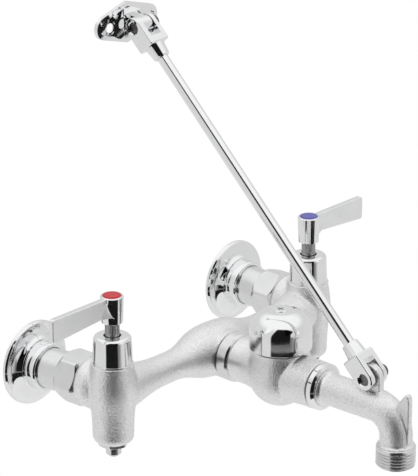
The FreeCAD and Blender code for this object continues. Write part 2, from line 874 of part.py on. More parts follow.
def float_seal():
    ring = cylinder(float_radius - 0.4, float_top, seal_top)
    return ring.cut(cylinder(float_seal_bore, float_top, seal_top))


def breaker_cap():
    inner = dome_radius - dome_wall
    flat = dome_radius - dome_shoulder
    lean = dome_shoulder * math.sin(math.pi / 4)
    inner_lean = (dome_shoulder - dome_wall) * math.sin(math.pi / 4)
    shoulder = dome_top - dome_shoulder
    shell = turned([
        (inner, dome_rim),
        (dome_radius - 0.4, dome_rim),
        (dome_radius, dome_rim + 0.4),
        (dome_radius, shoulder),
        [(flat + lean, shoulder + lean), (flat, dome_top)],
        (dome_dish_radius + 0.8, dome_top),
        (dome_dish_radius, dome_top - dome_dish_depth),
        (cap_screw_radius + slip_fit, dome_top - dome_dish_depth),
        (cap_screw_radius + slip_fit, post_top),
        (flat - 1.0, post_top),
        (flat, dome_top - dome_wall),
        [(flat + inner_lean, shoulder + inner_lean), (inner, shoulder)],
    ])
    vent = Part.makeCylinder(dome_vent_radius, dome_radius + 1.0,
                             Vector(0, 0, dome_rim + dome_vent_height), Vector(1, 0, 0))
    vent.rotate(Vector(0, 0, 0), Vector(0, 0, 1), dome_vent_angle)
    vent_start = cylinder(inner - 2.0, dome_rim, dome_top)
    return shell.cut(vent.cut(vent_start))


def cap_screw():
    base = dome_top - dome_dish_depth
    head = turned([
        (0, base),
        (cap_screw_head_radius, base),
        (cap_screw_head_radius, base + cap_screw_head - 0.9),
        [(cap_screw_head_radius - 0.3, base + cap_screw_head - 0.25),
         (cap_screw_head_radius - 1.0, base + cap_screw_head)],
        (0, base + cap_screw_head),
    ])
    shank = cylinder(cap_screw_radius, post_top - cap_screw_length + 1.0, base)
    top = base + cap_screw_head
    long = (-cap_screw_cross_length / 2, cap_screw_cross_length / 2)
    wide = (-cap_screw_cross / 2, cap_screw_cross / 2)
    deep = (top - cap_screw_cross_depth, top)
    return cut_from(joined(head, shank), box(long, wide, deep), box(wide, long, deep))


def spout_nut():
    front = spout_nut_front
    ring = turned([
        (0, spout_nut_rear),
        (spout_nut_radius - 0.3, spout_nut_rear),
        (spout_nut_radius, spout_nut_rear + 0.3),
        (spout_nut_radius, front - spout_nut_chamfer),
        (spout_nut_face_radius, front),
        (0, front),
    ])
    return ring.cut(cylinder(spout_thread_radius + thread_fit, spout_nut_rear, front))


def spout_gasket():
    ring = cylinder(spout_gasket_radius, outlet_boss_front, spout_nut_rear)
    return ring.cut(cylinder(spout_thread_radius + thread_fit, outlet_boss_front, spout_nut_rear))


def bent_tube(radius, start):
    # A run out from the wall, a quarter bend, and a run down to the outlet.
    line = -outlet_drop
    bend_reach = outlet_reach - spout_bend
    run = outward(cylinder(radius, start, bend_reach), 0, line)
    circle = Part.Wire(Part.makeCircle(radius, Vector(0, -bend_reach, line), Vector(0, -1, 0)))
    centre = Vector(0, -bend_reach, line - spout_bend)
    bend = Part.Face(circle).revolve(centre, Vector(1, 0, 0), 90)
    drop = upright(cylinder(radius, outlet_bottom, line - spout_bend), 0, outlet_reach)
    return joined(run, bend, drop)


def hose_end():
    # Collar and thread below the bend; the thread is a stack of V grooves.
    thread_start = outlet_bottom + hose_chamfer + hose_thread_turns * hose_thread_pitch
    collar_top = thread_start + hose_collar
    outline = [
        (0, collar_top + 2.2),
        (spout_radius, collar_top + 2.2),
        (hose_thread_radius, collar_top),
        (hose_thread_radius, thread_start),
    ]
    for turn in range(hose_thread_turns):
        crest = thread_start - turn * hose_thread_pitch
        outline.append((hose_thread_radius - hose_thread_depth, crest - hose_thread_pitch * 0.45))
        outline.append((hose_thread_radius - hose_thread_depth, crest - hose_thread_pitch * 0.55))
        outline.append((hose_thread_radius, crest - hose_thread_pitch * 0.9))
        outline.append((hose_thread_radius, crest - hose_thread_pitch))
    outline.append((hose_thread_radius - hose_chamfer, outlet_bottom))
    outline.append((0, outlet_bottom))
    return upright(turned(outline), 0, outlet_reach)


def pail_hook():
    front = -outlet_reach - hook_front
    back = -outlet_reach - hook_root_back
    tip = -outlet_reach - hook_tip_back
    lean = hook_rounding * (1 - math.cos(math.pi / 4))
    return side_plate([
        (back + 6.0, hook_root_height - 6.0),
        (back, hook_root_height + 1.2),
        (tip, hook_top - 0.9),
        [(tip - 1.6, hook_top), (front + lean, hook_top - lean * 1.6)],
        (front, hook_top - hook_rounding - 0.8),
        (front, hook_bottom + 1.0),
        (front + 2.0, hook_bottom),
        (back + 6.0, hook_bottom),
    ], hook_thickness)


def brace_lug():
    y = -brace_foot_reach
    z = brace_foot_height
    front = y - lug_radius
    back = y + lug_radius
    return side_plate([
        (front, -outlet_drop),
        (front, z),
        [(y, z + lug_radius), (back, z)],
        (back + 3.0, -outlet_drop),
    ], lug_thickness)


def pin_hole(place, radius):
    return Part.makeCylinder(radius, 40.0, place - pin_way * 20.0, pin_way)


def spout():
    thread = outward(cylinder(spout_thread_radius, outlet_boss_front - spout_engagement,
                              spout_collar_rear), 0, -outlet_drop)
    collar = turned([
        (0, spout_collar_rear),
        (spout_collar_radius, spout_collar_rear),
        (spout_collar_radius, spout_collar_rear + spout_collar * 0.5),
        [(spout_collar_radius - 1.0, spout_collar_rear + spout_collar * 0.85),
         (spout_radius, spout_collar_rear + spout_collar * 2.2)],
        (0, spout_collar_rear + spout_collar * 2.2),
    ])
    body = joined(thread, outward(collar, 0, -outlet_drop), bent_tube(spout_radius, spout_collar_rear),
                  hose_end(), pail_hook(), brace_lug())
    bore = bent_tube(spout_bore, outlet_boss_front - spout_engagement)
    return cut_from(body, bore, pin_hole(lower_pin_place, pin_radius + running_fit))


def fork():
    # Local frame: pin along X through the origin, rod along +Z.
    half = fork_width / 2
    floor_top = fork_crotch + fork_floor
    ear_line = (-ear_radius, ear_radius)
    blank = box((-half, half), ear_line, (0, floor_top))
    blank = blank.fuse(Part.makeCylinder(ear_radius, fork_width, Vector(-half, 0, 0), Vector(1, 0, 0)))
    blank = blank.removeSplitter()
    outer_edges = [edge for edge in blank.Edges
                   if abs(edge.BoundBox.XMin) > half - 0.01 and edge.BoundBox.XLength < 0.01]
    outer_edges += [edge for edge in blank.Edges
                    if edge.BoundBox.XLength > half and edge.BoundBox.ZMin > floor_top - 0.01]
    blank = blank.makeFillet(fork_edge, outer_edges)
    inner = half - ear_thickness
    gap = box((-inner, inner), (-2 * ear_radius, 2 * ear_radius), (-2 * ear_radius, fork_crotch))
    socket = turned([
        (0, floor_top - 0.5),
        (socket_root_radius, floor_top - 0.5),
        (socket_root_radius, floor_top),
        (socket_radius, floor_top + socket_length - 0.6),
        (socket_radius - 0.6, floor_top + socket_length),
        (0, floor_top + socket_length),
    ])
    rod_hole = cylinder(rod_radius + thread_fit, floor_top + socket_length - rod_grip - 0.5,
                        floor_top + socket_length)
    pin_bore = Part.makeCylinder(pin_radius + running_fit, fork_width, Vector(-half, 0, 0),
                                 Vector(1, 0, 0))
    sinks = [Part.makeCone(pin_radius + pin_countersink, pin_radius, pin_countersink,
                           Vector(side * half, 0, 0), Vector(-side, 0, 0)) for side in (-1, 1)]
    return cut_from(blank.cut(gap).fuse(socket), rod_hole, pin_bore, *sinks)


def fork_pin(place):
    # Plain end sunk in the hot side's ear, head on the cold side.
    half = fork_width / 2
    shank = cylinder(pin_radius, -half + pin_recess, half + 0.1)
    head = turned([
        (0, half + 0.05),
        (pin_head_radius, half + 0.05),
        (pin_head_radius, half + pin_head - pin_head_chamfer),
        (pin_head_radius - pin_head_chamfer, half + pin_head),
        (0, half + pin_head),
    ])
    pin = joined(shank, head)
    pin.Placement = Placement(place, Rotation(Vector(0, 0, 1), pin_way))
    return pin


def brace_rod():
    end = fork_crotch + fork_floor + socket_length - rod_grip
    rod = cylinder(rod_radius, end, brace_length - end)
    return on_brace(rod, lower_pin_place, rod_way)


def diamond_face(inset):
    # Four arcs joined by their common tangents, in the XZ plane at Y = 0.
    lobe = bracket_lobe_radius
    middle = bracket_middle_radius
    across = bracket_half_length - lobe
    up = bracket_half_height - middle
    tilt = math.atan2(up, across) + math.acos((lobe - middle) / math.hypot(across, up))
    normal = (-math.cos(tilt), math.sin(tilt))
    lobe -= inset
    middle -= inset
    edge_x, edge_z = across + lobe * normal[0], lobe * normal[1]
    peak_x, peak_z = middle * normal[0], up + middle * normal[1]
    return outline_face([
        (edge_x, edge_z),
        (peak_x, peak_z),
        [(0, up + middle), (-peak_x, peak_z)],
        (-edge_x, edge_z),
        [(-across - lobe, 0), (-edge_x, -edge_z)],
        (-peak_x, -peak_z),
        [(0, -up - middle), (peak_x, -peak_z)],
        (edge_x, -edge_z),
        [(across + lobe, 0), (edge_x, edge_z)],
    ], lambda point: Vector(point[0], 0, point[1]))


def bracket_block(face):
    # The block behind the tongue: square in front, drawn in to a ridge at the plate.
    half = bracket_block_half_width
    drop = bracket_block_drop
    front = bracket_block_front
    shoulder = front * 0.25
    corner = 1.4

    def section(reach, outline):
        mirrored = outline + [(-x, z) for x, z in reversed(outline)]
        points = [Vector(x, -reach, z) for x, z in mirrored]
        return Part.makePolygon(points + points[:1])

    back = section(0, [(half, -drop), (half, shoulder), (bracket_peak_half_width, bracket_block_peak)])
    nose = section(face, [(half - 0.6, -drop + 1.2), (half, front - corner), (half - corner, front)])
    return Part.makeLoft([back, nose], True, True)


def wall_bracket():
    plate = diamond_face(0).extrude(Vector(0, -bracket_plate, 0))
    recess = diamond_face(bracket_rim).extrude(Vector(0, -bracket_recess, 0))
    recess.translate(Vector(0, bracket_recess - bracket_plate, 0))
    face = bracket_standoff - ear_radius - 0.5
    block = bracket_block(face)
    tongue = box((-tongue_thickness / 2, tongue_thickness / 2), (-bracket_standoff, -face + 1.0),
                 (-tongue_radius, tongue_radius))
    rounding = Part.makeCylinder(tongue_radius, tongue_thickness,
                                 Vector(-tongue_thickness / 2, -bracket_standoff, 0), Vector(1, 0, 0))
    holes = []
    floor = bracket_plate - bracket_recess
    for side in (-1, 1):
        place = Vector(side * bracket_hole_spacing / 2, 0, -bracket_hole_drop)
        way = Vector(0, -1, 0)
        holes.append(Part.makeCylinder(bracket_hole_radius, bracket_plate, place, way))
        holes.append(Part.makeCylinder(bracket_sink_radius, bracket_plate,
                                       place + way * (floor - bracket_sink_depth), way))
    body = joined(plate.cut(recess), block, tongue, rounding)
    body = cut_from(body, *holes)
    body.translate(Vector(bracket_offset, 0, bracket_height))
    return body.cut(pin_hole(upper_pin_place, pin_radius + running_fit))


def side_pieces(name, side):
    def at_valve(shape):
        return upright(shape, side * valve_x, valve_reach)

    def at_supply(shape):
        return outward(shape, side * valve_x)

    return {
        f"{name}_wall_flange": outward(wall_flange(), side * supply_x),
        f"{name}_supply_shank": at_supply(supply_shank(side)),
        f"{name}_union_nut": at_supply(union_nut(hot_nut_turn if side < 0 else cold_nut_turn)),
        f"{name}_union_washer": at_supply(union_washer()),
        f"{name}_bonnet": at_valve(bonnet()),
        f"{name}_cartridge": at_valve(cartridge()),
        f"{name}_seat_gasket": at_valve(seat_gasket()),
        f"{name}_fixed_disc": at_valve(fixed_disc()),
        f"{name}_moving_disc": at_valve(moving_disc()),
        f"{name}_stem": at_valve(stem()),
        f"{name}_stem_ring": at_valve(stem_ring()),
        f"{name}_handle": at_valve(handle(side)),
        f"{name}_handle_screw": at_valve(handle_screw()),
        f"{name}_index_button": at_valve(index_button()),
        f"{name}_stop_bushing": at_valve(stop_bushing()),
        f"{name}_stop_stem": at_valve(stop_stem()),
        f"{name}_stop_washer": at_valve(stop_washer()),
    }


def seat_gasket():
    ring = cylinder(cartridge_bore - 0.3, cartridge_seat, seat_top)
    return ring.cut(cylinder(gasket_bore, cartridge_seat, seat_top))


def middle_pieces():
    def at_line(shape):
        return outward(shape, 0, -outlet_drop)

    def at_breaker(shape):
        return upright(shape, 0, breaker_reach)

    return {
        "yoke_body": yoke_body(),
        "coupling_nut": at_line(coupling_nut()),
        "coupling_gasket": at_line(coupling_gasket()),
        "breaker_body": breaker_body(),
        "breaker_guide": at_breaker(breaker_guide()),
        "breaker_float": at_breaker(breaker_float()),
        "float_seal": at_breaker(float_seal()),
        "breaker_cap": at_breaker(breaker_cap()),
        "cap_screw": at_breaker(cap_screw()),
        "spout_nut": at_line(spout_nut()),
        "spout_gasket": at_line(spout_gasket()),
        "spout": spout(),
    }


def brace_pieces():
    return {
        "lower_clevis": on_brace(fork(), lower_pin_place, rod_way),
        "upper_clevis": on_brace(fork(), upper_pin_place, rod_way * -1),
        "lower_pin": fork_pin(lower_pin_place),
        "upper_pin": fork_pin(upper_pin_place),
        "brace_rod": brace_rod(),
        "wall_bracket": wall_bracket(),
    }


def main():
    os.makedirs("parts", exist_ok=True)
    pieces = {}
    pieces.update(side_pieces("hot", -1))
    pieces.update(side_pieces("cold", 1))
    pieces.update(middle_pieces())
    pieces.update(brace_pieces())
    for name, shape in pieces.items():
        print(f"{name}: {len(shape.Solids)} solid, valid {shape.isValid()}, {shape.Volume:.1f} mm3")
        shape.exportStep(f"parts/{name}.step")


main()
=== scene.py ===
import json
import math
import bmesh
import bpy
import numpy as np
from mathutils import Matrix, Vector
from mathutils.bvhtree import BVHTree


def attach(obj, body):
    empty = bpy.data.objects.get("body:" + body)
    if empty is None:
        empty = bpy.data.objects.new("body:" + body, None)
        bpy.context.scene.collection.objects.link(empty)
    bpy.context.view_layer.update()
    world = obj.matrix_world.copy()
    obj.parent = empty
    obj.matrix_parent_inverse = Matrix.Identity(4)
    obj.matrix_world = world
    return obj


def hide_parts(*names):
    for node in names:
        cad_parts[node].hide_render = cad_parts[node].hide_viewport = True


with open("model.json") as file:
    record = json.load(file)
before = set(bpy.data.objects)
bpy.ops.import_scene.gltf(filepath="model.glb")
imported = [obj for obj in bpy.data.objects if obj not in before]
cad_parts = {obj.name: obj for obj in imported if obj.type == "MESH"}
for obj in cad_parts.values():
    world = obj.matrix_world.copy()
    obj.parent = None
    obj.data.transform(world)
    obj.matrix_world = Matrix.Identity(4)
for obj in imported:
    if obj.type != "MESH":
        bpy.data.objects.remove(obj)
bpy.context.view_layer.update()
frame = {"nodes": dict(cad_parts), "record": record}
nodes = frame["nodes"]
bodyOfNode = {
    node: body
    for body, members in frame["record"]["behaviour"]["bodies"].items()
    for node in members
}
slotOfNode = {row["node"]: row["material_slot"] for row in frame["record"]["subparts"]}
mm = 0.001
print("frame loaded")


# Shader helpers.


def newMaterial(name):
    material = bpy.data.materials.new(name)
    material.use_nodes = True
    tree = material.node_tree
    tree.nodes.clear()
    output = tree.nodes.new("ShaderNodeOutputMaterial")
    shader = tree.nodes.new("ShaderNodeBsdfPrincipled")
    tree.links.new(shader.outputs["BSDF"], output.inputs["Surface"])
    place = tree.nodes.new("ShaderNodeTexCoord")
    return material, tree, shader, place.outputs["Object"]


def addNode(tree, kind, **settings):
    node = tree.nodes.new(kind)
    for key, value in settings.items():
        setattr(node, key, value)
    return node


def setInputs(tree, node, values):
    for label, value in values.items():
        if isinstance(value, bpy.types.NodeSocket):
            tree.links.new(value, node.inputs[label])
        else:
            node.inputs[label].default_value = value


def newGroup(name, inputs, outputs):
    group = bpy.data.node_groups.new(name, "ShaderNodeTree")
    for label, kind, value in inputs:
        socket = group.interface.new_socket(label, in_out="INPUT", socket_type=kind)
        socket.default_value = value
    for label, kind in outputs:
        group.interface.new_socket(label, in_out="OUTPUT", socket_type=kind)
    return group, addNode(group, "NodeGroupInput"), addNode(group, "NodeGroupOutput")


def useGroup(tree, group, **values):
    node = addNode(tree, "ShaderNodeGroup", node_tree=group)
    setInputs(tree, node, values)
    return node.outputs


def noise(tree, vector, scale, detail=3.0, roughness=0.5):
    node = addNode(tree, "ShaderNodeTexNoise")
    setInputs(tree, node, {
        "Vector": vector, "Scale": scale, "Detail": detail, "Roughness": roughness})
    return node.outputs["Fac"]


def remap(tree, value, low, high, toLow, toHigh):
    node = addNode(tree, "ShaderNodeMapRange")
    setInputs(tree, node, {
        "Value": value, "From Min": low, "From Max": high, "To Min": toLow, "To Max": toHigh})
    return node.outputs["Result"]


def combine(tree, operation, first, second):
    node = addNode(tree, "ShaderNodeMath", operation=operation)
    setInputs(tree, node, {0: first, 1: second})
    return node.outputs["Value"]


def blend(tree, mask, first, second):
    node = addNode(tree, "ShaderNodeMix", data_type="RGBA")
    setInputs(tree, node, {"Factor": mask, "A": (*first, 1), "B": (*second, 1)})
    return node.outputs["Result"]


def bump(tree, height, distance, strength=1.0):
    node = addNode(tree, "ShaderNodeBump")
    setInputs(tree, node, {"Height": height, "Distance": distance, "Strength": strength})
    return node.outputs["Normal"]


# Effects that several materials share.

castSand = {  # the skin that the mould's sand leaves, with its pits and slow waves
    "softness": 0.6, "cells": 0.8, "finer": 1.4, "waves": 200.0, "waviness": 0.9,
    "leftByTool": 0.03, "pits": (0.35, 0.6),
}


def makeCastGrain():
    group, entry, leave = newGroup(
        "castGrain",
        [("Vector", "NodeSocketVector", (0, 0, 0)), ("Grains", "NodeSocketFloat", 900.0),
         ("Depth", "NodeSocketFloat", 0.0002), ("Smooth", "NodeSocketFloat", 0.0)],
        [("Normal", "NodeSocketVector"), ("Pits", "NodeSocketFloat")])
    vector, grains = entry.outputs["Vector"], entry.outputs["Grains"]
    cells = addNode(group, "ShaderNodeTexVoronoi", feature="SMOOTH_F1")
    setInputs(group, cells, {
        "Vector": vector, "Scale": grains, "Smoothness": castSand["softness"]})
    fine = noise(group, vector, combine(group, "MULTIPLY", grains, castSand["finer"]), 4.0, 0.6)
    waves = noise(group, vector, castSand["waves"], 2.0)
    height = combine(
        group, "ADD",
        combine(group, "MULTIPLY", cells.outputs["Distance"], castSand["cells"]), fine)
    height = combine(
        group, "ADD", height, combine(group, "MULTIPLY", waves, castSand["waviness"]))
    rough = remap(group, entry.outputs["Smooth"], 0.0, 1.0, 1.0, castSand["leftByTool"])
    normal = bump(group, height, entry.outputs["Depth"], rough)
    group.links.new(normal, leave.inputs["Normal"])
    group.links.new(remap(group, fine, *castSand["pits"], 1.0, 0.0), leave.inputs["Pits"])
    return group


toolMarks = {  # fine rings round a turned piece, and how they vary its roughness
    "lines": 5000.0, "depth": 0.00001, "detail": 2.0, "seen": (0.3, 0.7), "shine": (0.75, 1.3),
}


def makeTurningMarks():
    group, entry, leave = newGroup(
        "turningMarks",
        [("Vector", "NodeSocketVector", (0, 0, 0)), ("Axis", "NodeSocketVector", (0, 1, 0)),
         ("Lines", "NodeSocketFloat", toolMarks["lines"]),
         ("Depth", "NodeSocketFloat", toolMarks["depth"])],
        [("Normal", "NodeSocketVector"), ("Lines", "NodeSocketFloat")])
    along = addNode(group, "ShaderNodeVectorMath", operation="DOT_PRODUCT")
    setInputs(group, along, {0: entry.outputs["Vector"], 1: entry.outputs["Axis"]})
    rings = addNode(group, "ShaderNodeTexNoise", noise_dimensions="1D")
    setInputs(group, rings, {
        "W": along.outputs["Value"], "Scale": entry.outputs["Lines"],
        "Detail": toolMarks["detail"]})
    normal = bump(group, rings.outputs["Fac"], entry.outputs["Depth"])
    group.links.new(normal, leave.inputs["Normal"])
    group.links.new(rings.outputs["Fac"], leave.inputs["Lines"])
    return group


touch = {  # smudges, hair scratches and the slow ripple of a polished face
    "depth": 0.0000018, "smudges": 90.0, "smudged": (0.4, 0.7),
    "hairTurn": (0.4, 0.7, 0.2), "hairStretch": (300, 6000, 4000), "scratched": (0.66, 0.72),
    "ripples": 260.0, "rippling": 6.0,
}


def makeHandling():
    group, entry, leave = newGroup(
        "handling",
        [("Vector", "NodeSocketVector", (0, 0, 0)), ("Depth", "NodeSocketFloat", touch["depth"])],
        [("Normal", "NodeSocketVector"), ("Smudges", "NodeSocketFloat"),
         ("Scratches", "NodeSocketFloat")])
    vector = entry.outputs["Vector"]
    smudges = noise(group, vector, touch["smudges"], 5.0, 0.6)
    stretch = addNode(group, "ShaderNodeMapping")
    setInputs(group, stretch, {
        "Vector": vector, "Rotation": touch["hairTurn"], "Scale": touch["hairStretch"]})
    hairs = noise(group, stretch.outputs["Vector"], 1.0, 2.0)
    ripple = noise(group, vector, touch["ripples"], 1.0)
    height = combine(group, "ADD", hairs, combine(group, "MULTIPLY", ripple, touch["rippling"]))
    group.links.new(bump(group, height, entry.outputs["Depth"]), leave.inputs["Normal"])
    for mask, name, span in ((smudges, "Smudges", "smudged"), (hairs, "Scratches", "scratched")):
        group.links.new(remap(group, mask, *touch[span], 0.0, 1.0), leave.inputs[name])
    return group


wear = {  # duller flecks along the edges that hands and rags reach
    "reach": 0.06, "ridge": (0.5, 0.56), "flecks": 1400.0, "flecked": (0.35, 0.65),
}


def makeEdgeWear():
    group, entry, leave = newGroup(
        "edgeWear",
        [("Vector", "NodeSocketVector", (0, 0, 0)), ("Reach", "NodeSocketFloat", wear["reach"])],
        [("Worn", "NodeSocketFloat")])
    shape = addNode(group, "ShaderNodeNewGeometry")
    ridge = remap(group, shape.outputs["Pointiness"], *wear["ridge"], 0.0, 1.0)
    flecks = noise(group, entry.outputs["Vector"], wear["flecks"], 3.0)
    broken = remap(group, flecks, *wear["flecked"], 0.0, 1.0)
    worn = combine(group, "MULTIPLY", ridge, broken)
    group.links.new(combine(group, "MULTIPLY", worn, entry.outputs["Reach"]), leave.inputs["Worn"])
    return group


castGrain = makeCastGrain()
turningMarks = makeTurningMarks()
handling = makeHandling()
edgeWear = makeEdgeWear()


# The finishes, one material each. Chrome is a little duller where it is smudged, the castings
# where they are pitted, and the moulded pieces are specked.

finishes = {
    "polishedChrome": {
        "colour": (0.9, 0.903, 0.91), "dull": (0.86, 0.863, 0.87), "roughness": 0.045,
        "smudged": 1.8, "scratched": 0.05, "brushed": 0.34},
    "castChrome": {
        "colour": (0.97, 0.97, 0.972), "pits": (0.74, 0.74, 0.745), "roughness": 0.33,
        "pitted": 1.3, "grains": 950.0, "depth": 0.00025},
    "satinChrome": {
        "colour": (0.8, 0.802, 0.806), "dull": (0.75, 0.752, 0.756), "roughness": 0.17},
    "brass": {
        "colour": (0.72, 0.52, 0.24), "dull": (0.5, 0.36, 0.17), "roughness": 0.25},
    "steel": {
        "colour": (0.6, 0.6, 0.61), "dull": (0.42, 0.42, 0.43), "roughness": 0.28},
    "darkSteel": {
        "colour": (0.2, 0.195, 0.19), "dull": (0.1, 0.098, 0.095), "roughness": 0.3},
    "ceramic": {
        "colour": (0.9, 0.89, 0.85), "dull": (0.82, 0.81, 0.77), "roughness": 0.12,
        "specks": 2500.0, "depth": 0.000004, "shine": 0.5, "glow": 0.0},
    "blackRubber": {
        "colour": (0.012, 0.012, 0.013), "dull": (0.03, 0.03, 0.03), "roughness": 0.7,
        "specks": 1800.0, "depth": 0.00003, "shine": 0.5, "glow": 0.0},
    "blackPlastic": {
        "colour": (0.02, 0.02, 0.021), "dull": (0.035, 0.035, 0.035), "roughness": 0.4,
        "specks": 2200.0, "depth": 0.00001, "shine": 0.5, "glow": 0.0},
    "fibre": {
        "colour": (0.4, 0.2, 0.12), "dull": (0.25, 0.12, 0.08), "roughness": 0.8,
        "specks": 1500.0, "depth": 0.00005, "shine": 0.5, "glow": 0.0},
    "redPlastic": {
        "colour": (0.6, 0.02, 0.035), "dull": (0.5, 0.012, 0.025), "roughness": 0.12,
        "specks": 300.0, "depth": 0.000004, "shine": 0.3, "glow": 0.1},
    "bluePlastic": {
        "colour": (0.11, 0.11, 0.42), "dull": (0.08, 0.08, 0.36), "roughness": 0.12,
        "specks": 300.0, "depth": 0.000004, "shine": 0.3, "glow": 0.1},
}


def polishedMetal(name):
    values = finishes[name]
    material, tree, shader, place = newMaterial(name)
    touched = useGroup(tree, handling, Vector=place)
    worn = useGroup(tree, edgeWear, Vector=place)["Worn"]
    brushed = addNode(tree, "ShaderNodeAttribute", attribute_name="brushed").outputs["Fac"]
    scratched = combine(tree, "MULTIPLY", touched["Scratches"], values["scratched"])
    brushed = combine(tree, "MULTIPLY", brushed, values["brushed"])
    roughness = remap(
        tree, touched["Smudges"], 0.0, 1.0,
        values["roughness"], values["roughness"] * values["smudged"])
    for rougher in (worn, scratched, brushed):
        roughness = combine(tree, "ADD", roughness, rougher)
    setInputs(tree, shader, {
        "Metallic": 1.0,
        "Base Color": blend(tree, touched["Smudges"], values["colour"], values["dull"]),
        "Roughness": roughness,
        "Normal": touched["Normal"]})
    return material


def turnedMetal(name, suffix, axis):
    values = finishes[name]
    material, tree, shader, place = newMaterial(name + suffix)
    marks = useGroup(tree, turningMarks, Vector=place, Axis=axis)
    touched = useGroup(tree, handling, Vector=place)
    worn = useGroup(tree, edgeWear, Vector=place)["Worn"]
    smooth, rough = (values["roughness"] * share for share in toolMarks["shine"])
    roughness = remap(tree, marks["Lines"], *toolMarks["seen"], smooth, rough)
    setInputs(tree, shader, {
        "Metallic": 1.0,
        "Base Color": blend(tree, touched["Smudges"], values["colour"], values["dull"]),
        "Roughness": combine(tree, "ADD", roughness, worn),
        "Normal": marks["Normal"]})
    return material


def castMetal(name):
    values = finishes[name]
    material, tree, shader, place = newMaterial(name)
    turned = addNode(tree, "ShaderNodeAttribute", attribute_name="machined").outputs["Fac"]
    grain = useGroup(
        tree, castGrain, Vector=place, Grains=values["grains"], Depth=values["depth"],
        Smooth=turned)
    worn = useGroup(tree, edgeWear, Vector=place)["Worn"]
    roughness = remap(
        tree, grain["Pits"], 0.0, 1.0,
        values["roughness"], values["roughness"] * values["pitted"])
    setInputs(tree, shader, {
        "Metallic": 1.0,
        "Base Color": blend(tree, grain["Pits"], values["colour"], values["pits"]),
        "Roughness": combine(tree, "ADD", roughness, worn),
        "Normal": grain["Normal"]})
    return material


moulding = {"specked": (0.35, 0.65), "smudged": 1.35, "glowDepth": 1.5 * mm}


def mouldedMaterial(name):
    values = finishes[name]
    material, tree, shader, place = newMaterial(name)
    grain = noise(tree, place, values["specks"], 4.0, 0.6)
    specks = remap(tree, grain, *moulding["specked"], 0.0, 1.0)
    touched = useGroup(tree, handling, Vector=place)
    setInputs(tree, shader, {
        "Base Color": blend(tree, specks, values["colour"], values["dull"]),
        "Roughness": remap(
            tree, touched["Smudges"], 0.0, 1.0,
            values["roughness"], min(1.0, values["roughness"] * moulding["smudged"])),
        "Specular IOR Level": values["shine"],
        "Subsurface Weight": values["glow"],
        "Subsurface Scale": moulding["glowDepth"],
        "Normal": bump(tree, grain, values["depth"])})
    return material


materials = {
    "polished_chrome": polishedMetal("polishedChrome"),
    "cast_chrome": castMetal("castChrome"),
    "ceramic": mouldedMaterial("ceramic"),
    "black_rubber": mouldedMaterial("blackRubber"),
    "black_plastic": mouldedMaterial("blackPlastic"),
    "fibre": mouldedMaterial("fibre"),
    "red_plastic": mouldedMaterial("redPlastic"),
    "blue_plastic": mouldedMaterial("bluePlastic"),
}
turnedMaterials = {
    ("satin_chrome", "Y"): turnedMetal("satinChrome", "AlongY", (0, 1, 0)),
    ("satin_chrome", "Z"): turnedMetal("satinChrome", "AlongZ", (0, 0, 1)),
    ("brass", "Z"): turnedMetal("brass", "AlongZ", (0, 0, 1)),
    ("steel", "Z"): turnedMetal("steel", "AlongZ", (0, 0, 1)),
}
pinSteel = turnedMetal("darkSteel", "", (1, 0, 0))
turnedAlongY = ("shank", "union", "coupling", "spout_nut")  # the others stand upright


def finishOf(node):
    slot = slotOfNode[node]
    if "_pin" in node:
        return pinSteel
    if slot in materials:
        return materials[slot]
    axis = "Y" if any(word in node for word in turnedAlongY) else "Z"
    return turnedMaterials[slot, axis]


print("materials made")


# Mesh helpers.

meshCare = {"merge": 0.002 * mm, "sliver": 0.0005 * mm, "flat": 0.3}  # flat, in degrees


def newObject(name, mesh):
    piece = bpy.data.objects.new(name, mesh)
    bpy.context.scene.collection.objects.link(piece)
    return piece


def bake(piece):
    shaped = piece.evaluated_get(bpy.context.evaluated_depsgraph_get())
    mesh = bpy.data.meshes.new_from_object(shaped)
    old = piece.data
    piece.modifiers.clear()
    piece.data = mesh
    bpy.data.meshes.remove(old)
    mesh.name = piece.name


def meshFrom(shape, name):
    mesh = bpy.data.meshes.new(name)
    shape.to_mesh(mesh)
    shape.free()
    return mesh


def mergedPiece(node):
    shape = bmesh.new()
    shape.from_mesh(nodes[node].data)
    bmesh.ops.remove_doubles(shape, verts=shape.verts, dist=meshCare["merge"])
    bmesh.ops.dissolve_degenerate(shape, edges=shape.edges, dist=meshCare["sliver"])
    bmesh.ops.recalc_face_normals(shape, faces=shape.faces)
    return newObject(node + "_piece", meshFrom(shape, node))


def shadeSmooth(mesh, angle):
    mesh.shade_smooth()
    mesh.set_sharp_from_angle(angle=math.radians(angle))


def settle(piece, node):
    piece.data.materials.clear()
    piece.data.materials.append(finishOf(node))
    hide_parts(node)
    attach(piece, bodyOfNode[node])


# Sand castings: a fine skin over the solid, with soft fillets run into its creases.
# A span is (axis, where it starts, where it is full). Creases are filled where every span of
# "filled" reaches, and the casting is turned after it is cast where any span of "turned" does.

